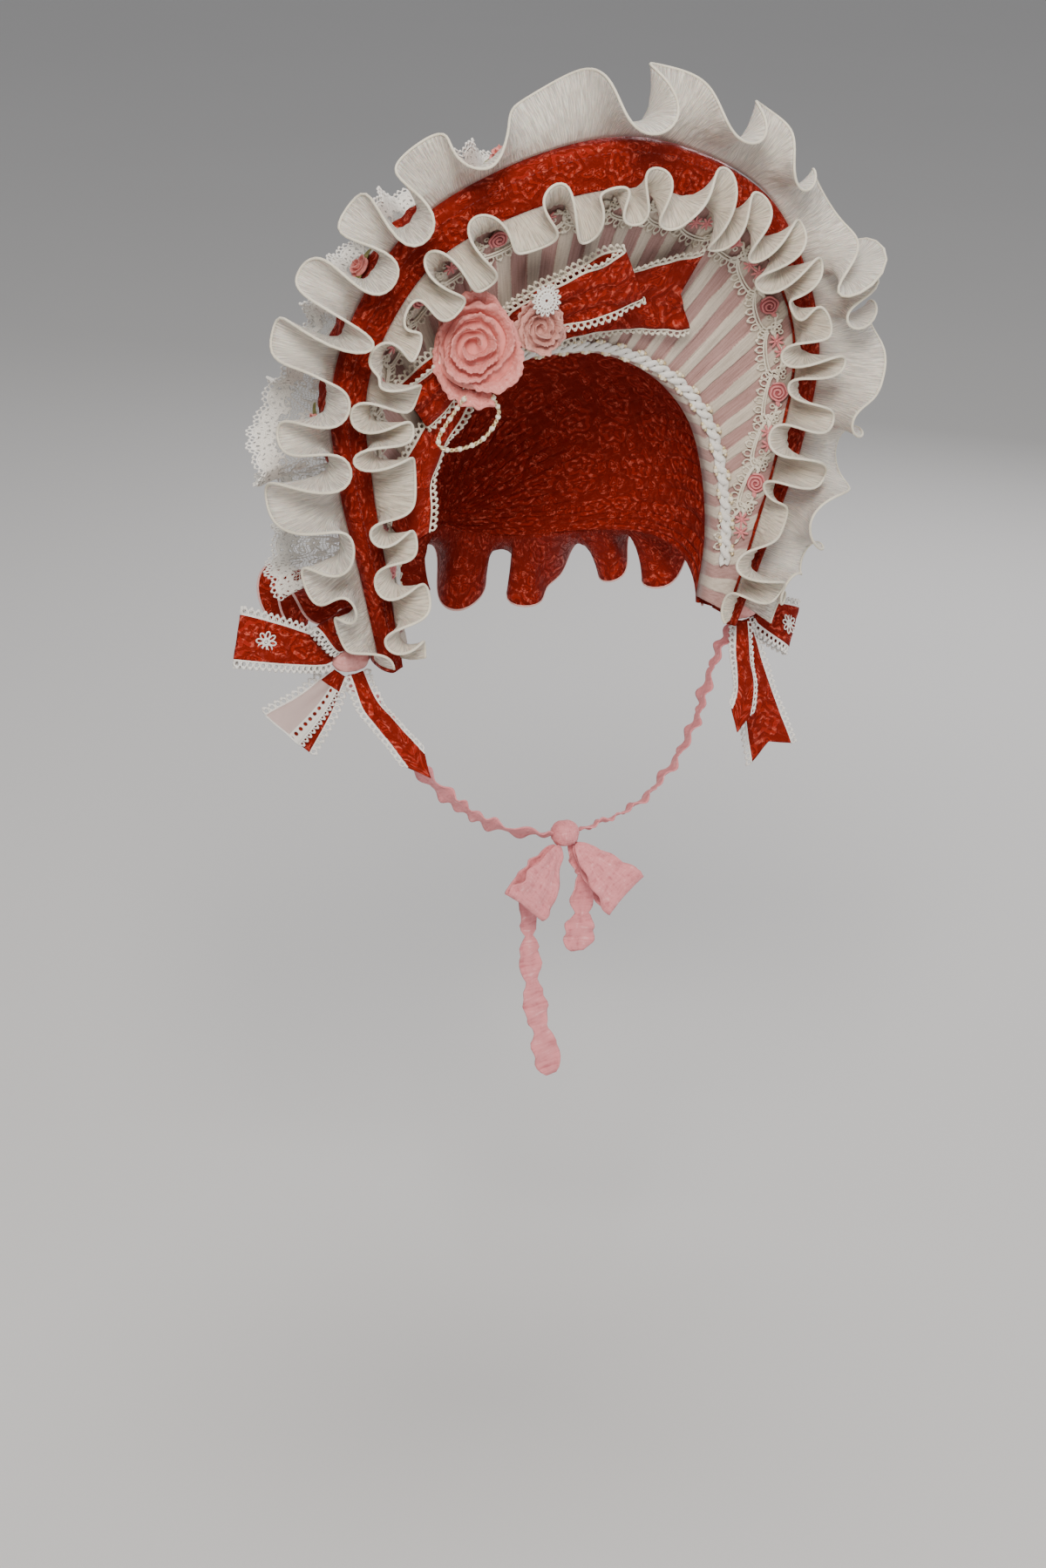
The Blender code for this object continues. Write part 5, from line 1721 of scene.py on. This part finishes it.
@dataclass
class RoseTrim:
    """Guipure trim on the lining: scallops with picots, a leafy stem, rosettes and blossoms."""

    form: BrimForm
    wardrobe: Wardrobe
    end: float = 0.86
    scallops: int = 22
    scallop_start: float = 17.2
    scallop_depth: float = 5.6
    second_line: float = 1.8
    thread: float = 0.5
    lift: float = 2.0
    stem_down: float = 12.4
    stem_sway: float = 1.6
    stem_pitch: float = 4.6
    flower_down: float = 12.9
    flower_lift: float = 2.6
    rosette_radius: float = 6.0

    def __post_init__(self) -> None:
        """Lay out the trim along the seam."""
        self.map = LiningMap(self.form, 1.0, self.end)
        self.period = self.map.length / self.scallops

    def build(self) -> None:
        """Make the ivory lace and the pink flowers."""
        lace = [self._scallop_line(0.0), self._scallop_line(self.second_line), self._picots(),
                self._stem(), self._leaves(), self._florets()]
        sew("rose_trim_lace", join(lace), self.wardrobe.guipure, ["rose_trim"])
        middles = (np.arange(self.scallops) + 0.5) * self.period
        sew("rose_trim_rosettes", self._at(middles[::2], self._rosette()), self.wardrobe.blossom)
        pad = flat_ball((self.rosette_radius * 0.88, self.rosette_radius * 0.88, 0.5), 4)
        sew("rose_trim_pads", self._at(middles[::2], pad), self.wardrobe.blossom_pad)
        sew("rose_trim_blossoms", self._at(middles[1::2], self._blossom()), self.wardrobe.blossom)

    def _arc(self, inset: float, points: int = 26) -> tuple[Array, Array]:
        """Run and distance down of the scallops' line, one row for each scallop."""
        turn = np.linspace(0.0, math.pi, points)
        start = np.arange(self.scallops)[:, None] * self.period
        run = start + self.period * 0.5 * (1.0 - np.cos(turn) * (1.0 - inset / self.period * 1.6))
        down = self.scallop_start + (self.scallop_depth - inset) * np.sin(turn) + 0 * start
        return run, down

    def _scallop_line(self, inset: float) -> Patch:
        """Thread along every scallop."""
        run, down = self._arc(inset)
        front = self.map.axes(run, down)[..., 2, :]
        return tubes(self.map.place(run, down, self.lift), front, self.thread * (1.25 if not inset else 1.0))

    def _picots(self) -> Patch:
        """Loops all along the scallops."""
        run, down = (line.ravel() for line in self._arc(0.0))
        axes = self.map.axes(run, down)
        step = np.stack((np.gradient(run), np.gradient(down)), axis=1)
        normal = unit(np.stack((-step[:, 1], step[:, 0]), axis=1))
        outwards = axes[:, 0] * normal[:, :1] + axes[:, 1] * np.maximum(normal[:, 1:], 0.05)
        return picots(self.map.place(run, down, self.lift), outwards, 4.7, 1.8, self.thread * 0.95)

    def _stem(self) -> Patch:
        """Two threads that twist along the trim."""
        run = np.linspace(1.0, self.map.length - 1.0, 900)
        sway = self.stem_sway * np.sin(TAU * run / self.period)
        threads = []
        for phase in (0.0, math.pi):
            twist = TAU * run / self.stem_pitch + phase
            down = self.stem_down + sway + 0.5 * np.sin(twist)
            front = self.map.axes(run, down)[:, 2]
            path = self.map.place(run, down, self.lift + 0.3 * np.cos(twist))
            threads.append(tube(path, front, self.thread))
        return join(threads)

    def _at(self, run: Array, shape: Patch, down: float | Array | None = None, lift: float | None = None,
            turns: Array | float = 0.0) -> Patch:
        """A shape at each place along the trim, turned in its own plane."""
        down = np.broadcast_to(self.flower_down if down is None else down, run.shape)
        axes = self.map.axes(run, down)
        turns = np.broadcast_to(turns, run.shape)[:, None]
        x = axes[:, 0] * np.cos(turns) + axes[:, 1] * np.sin(turns)
        axes = np.stack((x, np.cross(axes[:, 2], x), axes[:, 2]), axis=1)
        return repeat(shape, self.map.place(run, down, self.flower_lift if lift is None else lift), axes)

    def _leaves(self) -> Patch:
        """Pairs of stitched leaves between the flowers."""
        joints = np.arange(1, self.scallops) * self.period
        leaf = flat_ball((2.5, 1.15, 0.5))
        parts = []
        for shift, angle, down in ((-3.6, 0.7, 10.4), (3.4, -0.7, 14.8), (-0.4, 1.9, 15.3), (0.6, 1.2, 9.4)):
            spread = np.random.default_rng(int(down * 10)).uniform(-0.35, 0.35, len(joints))
            parts.append(self._at(joints + shift, leaf, down, self.lift, angle + spread))
        return join(parts)

    def _florets(self) -> Patch:
        """Small rings of thread near the stem."""
        joints = np.arange(1, self.scallops) * self.period
        loop = tube(circle(10) * 1.15, UP, 0.42, sides=4, closed=True)
        flower = join([loop.moved(place) for place in circle(5) * 1.7])
        return join([self._at(joints + 1.2, flower, self.stem_down, self.lift + 0.5),
                     self._at(joints - 6.4, loop, self.stem_down + 2.6, self.lift),
                     self._at(joints + 6.4, loop, self.stem_down - 2.4, self.lift)])

    def _rosette(self) -> Patch:
        """A spiral of pink cord on a small pad, its outer turn in petals."""
        turn = np.linspace(0.0, 2.6 * TAU, 110)
        share = turn / turn[-1]
        reach = self.rosette_radius * (0.12 + 0.78 * share) * (1.0 + 0.05 * np.sin(5.0 * turn) * share)
        path = stacked(reach * np.cos(turn), reach * np.sin(turn), 1.3 - 0.9 * share)
        cord = tube(path, UP, 0.62 - 0.08 * share, flatness=1.3)
        tip = turned(flat_ball((2.2, 1.3, 0.6)), 0.4, (self.rosette_radius, 0.8, 0.2))
        return join([cord, tip])

    def _blossom(self) -> Patch:
        """Two star flowers side by side."""
        petal = flat_ball((2.0, 0.72, 0.5))
        star = [turned(petal, TAU * number / 7, place + UP * 0.15)
                for number, place in enumerate(circle(7) * 2.5)]
        flower = join([*star, flat_ball((1.1, 1.1, 0.9))])
        return join([turned(flower, 0.2, (-3.4, -0.9, 0.0)), turned(flower, 0.8, (3.2, 1.1, 0.3))])


@dataclass
class HeadTrim:
    """Twisted braid with pearls along the lining's edge next to the face."""

    form: BrimForm
    wardrobe: Wardrobe
    end: float = 0.9
    down: float = 4.2
    swing: float = 1.9
    pitch: float = 13.0
    tape: float = 2.0
    flatness: float = 0.5
    lift: float = 2.6
    pearl_radius: float = 1.55
    seed_radius: float = 1.0

    def build(self) -> None:
        """Make the two tapes and the pearls."""
        self.map = LiningMap(self.form, 0.0, self.end)
        run = np.linspace(1.0, self.map.length - 1.0, 760)
        tapes = []
        for phase in (0.0, math.pi):
            turn = TAU * run / self.pitch + phase
            down = self.down + self.swing * np.sin(turn)
            path = self.map.place(run, down, self.lift + 0.9 * np.cos(turn))
            front = self.map.axes(run, down)[:, 2]
            tapes.append(tube(path, front, self.tape * (0.85 + 0.15 * np.cos(2 * turn)), sides=8,
                              flatness=self.flatness))
        sew("head_braid", join(tapes), self.wardrobe.white_cotton, ["head_trim"])
        crests = np.arange(1.5 * self.pitch / 4.0, self.map.length - 3.0, self.pitch / 2.0)
        side = np.where(np.arange(len(crests)) % 2 == 0, 1.0, -1.0)
        down = self.down + side * (self.swing + 1.6)
        pearls = self._beads(crests, down, self.pearl_radius, 0.0)
        gold = [self._beads(crests + 1.9, down + side * 0.4, self.seed_radius, 0.1),
                self._beads(crests - 1.9, down + side * 0.2, self.seed_radius, -0.1)]
        sew("head_braid_pearls", pearls, self.wardrobe.pearl)
        sew("head_braid_gold", join(gold), self.wardrobe.gold)

    def _beads(self, run: Array, down: Array, radius: float, shift: float) -> Patch:
        """Round beads at places along the braid."""
        down = np.maximum(down, 0.6)
        centres = self.map.place(run, down, self.lift + 0.4 + shift)
        return repeat(ball(3), centres, scale=radius)


def tie_knot(knot: Knot, finish: Material, creases: float = 7.0) -> None:
    """A knot of gathered ribbon, creased round its middle."""
    shape = ball(9)
    turn = np.arctan2(shape.points[:, 1], shape.points[:, 2])
    crease = 1.0 - 0.055 * np.abs(np.sin(creases * turn / 2.0 + 2.2 * shape.points[:, 0]))
    dent = 1.0 - 0.10 * np.exp(-(shape.points[:, 0] / 0.35) ** 2)
    points = shape.points * np.array(knot.radii) * (crease * dent)[:, None]
    cloth = stacked(shape.points[:, 0] * 1.2, turn * 1.1)
    patch = Patch(points + np.array(knot.centre), shape.faces, cloth)
    sew(knot.node + "_ribbon", patch, finish, [knot.node])


def petal_edges(grid: Array, petals: int, seed: int, waist: float = 0.42, wave: float = 1.9) -> Array:
    """A band cut into a row of petals with wavy edges.

    Args:
        grid: The band's points, by place along it and across it.
        petals: How many petals there are.
        seed: Sets how the petals differ.
        waist: Width between two petals as a share of the band's own.
        wave: Height of the waves along the edges.

    Returns:
        The grid's points after the change.
    """
    middle = grid.mean(axis=1, keepdims=True)
    run = run_length(middle[:, 0])[:, None]
    count = run / run[-1] * petals
    bulge = np.abs(np.sin(math.pi * count)) ** 0.6
    scale = waist + (1.12 - waist) * bulge
    side = np.linspace(-1.0, 1.0, grid.shape[1])[None]
    along = heading(middle[:, 0])
    across = unit(grid[:, -1] - grid[:, 0])
    normal = unit(np.cross(along, across))[:, None]
    uneven = 1.0 + 0.06 * np.sin(TAU * run / 14.0 + 2.0 * np.sign(side) + seed) * np.abs(side) ** 2
    wander = 2.0 * ripple(middle[:, 0], 40.0, seed)[:, None]
    lift = wave * bulge * np.abs(side) ** 1.7 * np.sin(TAU * run / 13.0 + wander + seed + 1.9 * np.sign(side))
    return middle + (grid - middle) * (scale * uneven)[..., None] + normal * lift[..., None]


@dataclass
class ChinTies:
    """Petal ribbon from both side bows to a bow under the chin."""

    wardrobe: Wardrobe
    route: tuple[Point, ...] = (
        (116.2, -24.5, -166.0), (99.0, -33.0, -190.0), (84.0, -44.0, -214.0), (60.0, -56.0, -236.0),
        (34.0, -65.0, -249.0), (-0.6, -69.0, -256.0))
    neck_axis: Point = (0.0, -20.0, -200.0)
    neck_flatness: Point = (1.0, 0.6, 1.0)
    width: float = 14.0
    petal: float = 27.0
    wall: float = 0.7
    knot: Knot = Knot("chin_knot", (-9.0, -69.0, -256.0), (8.0, 8.0, 8.0), (0.0, -1.0, 0.0))
    loops: tuple[LoopCut, ...] = (
        LoopCut("chin_loop_right", (20.0, -86.0, -290.0), 7.0, 26.0, 5.0),
        LoopCut("chin_loop_left", (-40.0, -84.0, -288.0), 7.0, 26.0, 5.0))
    tails: tuple[TailCut, ...] = (
        TailCut("chin_tail_short", ((5.0, -66.0, -284.0), (2.0, -67.0, -327.0)), 6.0, 18.0, 0.0),
        TailCut("chin_tail_long", ((-27.0, -65.0, -284.0), (-24.0, -65.0, -345.0),
                                   (-13.0, -69.0, -397.0)), 6.0, 15.0, 0.0))

    def build(self) -> None:
        """Make both straps and the bow."""
        right = self._strap()
        left = right * np.array((-1.0, 1.0, 1.0))
        shift = np.linspace(0.0, 1.0, len(left)) ** 2
        left[..., 0] += (2.0 * self.knot.centre[0] * shift)[:, None]
        for name, grid in (("tie_right", right), ("tie_left", left)):
            petals = round(run_length(grid[:, 0])[-1] / self.petal)
            band = petal_edges(grid, petals, len(name))
            strap = sew(name + "_ribbon", loft(band), self.wardrobe.petal, [name], self.wall)
            cut_of(strap, band)
        tie_knot(self.knot, self.wardrobe.petal)
        Bow(self.knot, self.loops, self.tails, self.wardrobe.petal, Slot.PETAL,
            crumple=0.5, wall=self.wall, petal=self.petal, seed=90).build()

    def _strap(self) -> Array:
        """The right strap's grid, flat against the neck."""
        centre = through(self.route, 200)
        along = heading(centre)
        away = (centre - np.array(self.neck_axis)) * np.array(self.neck_flatness)
        away = square_to(away, along)
        across = np.cross(along, away)
        side = np.linspace(-0.5, 0.5, 13)[None, :, None]
        return centre[:, None] + across[:, None] * self.width * side


@dataclass
class SideBowLace:
    """Lace on the side bows: an eyelet panel over one end and a motif on each front loop."""

    wardrobe: Wardrobe
    bows: dict[str, Bow]
    panel_lift: float = 1.5
    panel_share: float = 0.75
    panel_start: int = 12
    motif_radius: float = 6.0

    def build(self) -> None:
        """Make the panel and the motifs."""
        self._panel(self.bows["left"], SIDE_TAILS["left"][0])
        for side, bow in self.bows.items():
            self._motifs(side, bow)

    def _panel(self, bow: Bow, tail: TailCut) -> None:
        """Gauze with a row of eyelets, over most of the ribbon's end and a little in front of it."""
        grid = bow.tail_grid(tail, bow.seed + 10)
        normal = unit(np.cross(np.gradient(grid, axis=0), np.gradient(grid, axis=1)))
        normal = normal * np.sign((normal @ np.array(bow.knot.toward)).mean())
        grid = grid + normal * self.panel_lift
        if grid[-1, 0, 2] < grid[-1, -1, 2]:
            grid = grid[:, ::-1]
        keep = round(grid.shape[1] * self.panel_share)
        grid = grid[self.panel_start:, :keep]
        run = run_length(grid[:, keep // 2])[:, None] * CM
        cloth = stacked(run, np.linspace(0.0, 1.0, keep))
        panel = sew("eyelet_panel", loft(grid, cloth), self.wardrobe.gauze, wall=0.4)
        edge = even_path(grid[:, -1], 120)
        out = unit(edge - even_path(grid[:, -2], 120))
        hem = sew("eyelet_panel_hem", join([tube(edge, bow.knot.toward, 0.55),
                                            tube(grid[-1], bow.knot.toward, 0.55),
                                            picots(edge, out, 2.9, 1.0, 0.42)]),
                  self.wardrobe.white_cotton)
        cut_of(panel, grid)

    def _motifs(self, side: str, bow: Bow) -> None:
        """A round crochet flower on the front of each loop."""
        parts = []
        for number, loop in enumerate(bow.loops):
            grid = bow.loop_grid(loop, bow.seed + number)
            row, column = len(grid) // 4, grid.shape[1] // 2
            along = unit(grid[row + 1, column] - grid[row - 1, column])
            across = unit(grid[row, column + 1] - grid[row, column - 1])
            normal = np.cross(along, across)
            normal = normal * np.sign(normal @ np.array(bow.knot.toward))
            axes = np.stack((along, np.cross(normal, along), normal))
            parts.append(placed(self._flower(), grid[row, column] + normal * 1.0, axes))
        sew("side_bow_" + side + "_motifs", join(parts), self.wardrobe.white_cotton)

    def _flower(self) -> Patch:
        """Petal loops of thread round a ring."""
        petal = tube(circle(14) * (1.9, 1.1, 1.0), UP, 0.42, sides=4, closed=True)
        petals = [turned(petal, TAU * number / 8, place)
                  for number, place in enumerate(circle(8) * self.motif_radius * 0.62)]
        return join([tube(circle(14) * 1.5, UP, 0.55, closed=True), flat_ball((0.8, 0.8, 0.6)), *petals])


# Camera, light and floor

class Lamp(NamedTuple):
    """A square soft lamp: its name, place and side in metres, its power in watts and its colour."""

    name: str
    place: Point
    side: float
    power: float
    colour: Colour

    def hang(self) -> None:
        """Put it in its place, pointed at the bonnet."""
        light = bpy.data.lights.new(self.name, "AREA")
        light.shape = "SQUARE"
        light.size = self.side
        light.energy = self.power
        light.color = self.colour
        holder = bpy.data.objects.new(self.name, light)
        holder.location = self.place
        aim = Vector((0.0, -0.03, -0.05)) - Vector(self.place)
        holder.rotation_euler = aim.to_track_quat("-Z", "Y").to_euler()
        bpy.context.scene.collection.objects.link(holder)


@dataclass(frozen=True)
class Studio:
    """Plain pale floor, soft light and the camera at the photograph's viewing angle."""

    camera_place: Point = (-0.90573, -1.70343, 0.44540)
    camera_turn: float = -28.04
    camera_dip: float = 19.88
    camera_roll: float = 1.49
    lens: float = 85.05
    sensor: float = 36.0
    floor_height: float = -0.62
    floor_size: float = 9.0
    sky_colour: Colour = (0.80, 0.81, 0.84)
    sky_strength: float = 0.45
    lamps: tuple[Lamp, ...] = (
        Lamp("key", (-1.1, -2.0, 1.6), 0.9, 86.0, (1.0, 0.95, 0.88)),
        Lamp("fill", (1.9, -1.6, 0.5), 1.6, 17.0, (0.95, 0.96, 1.0)),
        Lamp("top", (0.2, 0.1, 2.2), 1.2, 22.0, (1.0, 0.98, 0.95)),
        Lamp("rim", (1.5, 1.3, 0.5), 0.9, 16.0, (0.98, 0.97, 1.0)),
    )

    def build(self, floor_finish: Material) -> None:
        """Make the camera, the floor, the sky's light and the lamps."""
        scene = bpy.context.scene
        camera = bpy.data.objects.new("camera", bpy.data.cameras.new("camera"))
        camera.data.lens = self.lens
        camera.data.sensor_width = self.sensor
        camera.data.clip_end = 50.0
        turn = (Matrix.Rotation(math.radians(self.camera_turn), 4, "Z")
                @ Matrix.Rotation(math.radians(90.0 - self.camera_dip), 4, "X")
                @ Matrix.Rotation(math.radians(self.camera_roll), 4, "Z"))
        camera.matrix_world = Matrix.Translation(self.camera_place) @ turn
        scene.collection.objects.link(camera)
        scene.camera = camera
        self._floor(floor_finish)
        world = bpy.data.worlds.new("soft_sky")
        world.use_nodes = True
        sky = world.node_tree.nodes["Background"].inputs
        sky["Color"].default_value = (*self.sky_colour, 1.0)
        sky["Strength"].default_value = self.sky_strength
        scene.world = world
        for lamp in self.lamps:
            lamp.hang()

    def _floor(self, material: Material) -> None:
        """A level square floor well below the ties' ends."""
        half, height = self.floor_size, self.floor_height
        mesh = bpy.data.meshes.new("floor")
        corners = [(-half, -half, height), (half, -half, height), (half, half, height), (-half, half, height)]
        mesh.from_pydata(corners, [], [(0, 1, 2, 3)])
        mesh.materials.append(material)
        floor = bpy.data.objects.new("floor", mesh)
        bpy.context.scene.collection.objects.link(floor)


def side_knot(form: BrimForm, side: str) -> Knot:
    """Knot of a side bow, on the outside of the brim's lower end."""
    u = np.array([SIDE_KNOT_U if side == "right" else -SIDE_KNOT_U])
    centre = form.near_rim(u, SIDE_KNOT_OUT, SIDE_KNOT_BACK)[0]
    return Knot("side_bow_" + side + "_knot", tuple(centre), SIDE_KNOT_RADII, SIDE_LOOP_FACING)


def main() -> None:
    """Build every piece of the bonnet in its studio."""
    logging.basicConfig(level=logging.INFO, format="%(name)s %(message)s")
    form = BrimForm()
    wardrobe = Wardrobe()
    Studio().build(PaleFloor().make())
    for maker in (Brim, Crown, Ruffles):
        maker(form, wardrobe).build()
    Bow(BRIM_KNOT, BRIM_LOOPS, BRIM_TAILS, wardrobe.brocade, Slot.BROCADE,
        wardrobe.guipure, crumple=1.35).build()
    tie_knot(BRIM_KNOT, wardrobe.brocade)
    bows = {}
    for number, side in enumerate(("left", "right")):
        knot = side_knot(form, side)
        bows[side] = Bow(knot, SIDE_LOOPS[side], SIDE_TAILS[side], wardrobe.brocade,
                         Slot.BROCADE, wardrobe.white_cotton, crumple=0.6, seed=50 + 20 * number)
        bows[side].build()
        tie_knot(knot, wardrobe.satin, 9.0)
    SideBowLace(wardrobe, bows).build()
    ChinTies(wardrobe).build()
    for maker in (RoseTrim, HeadTrim):
        maker(form, wardrobe).build()
    BowFlowers(wardrobe).build()
    BrimRoses(form, wardrobe).build()


if __name__ == "__main__":
    main()
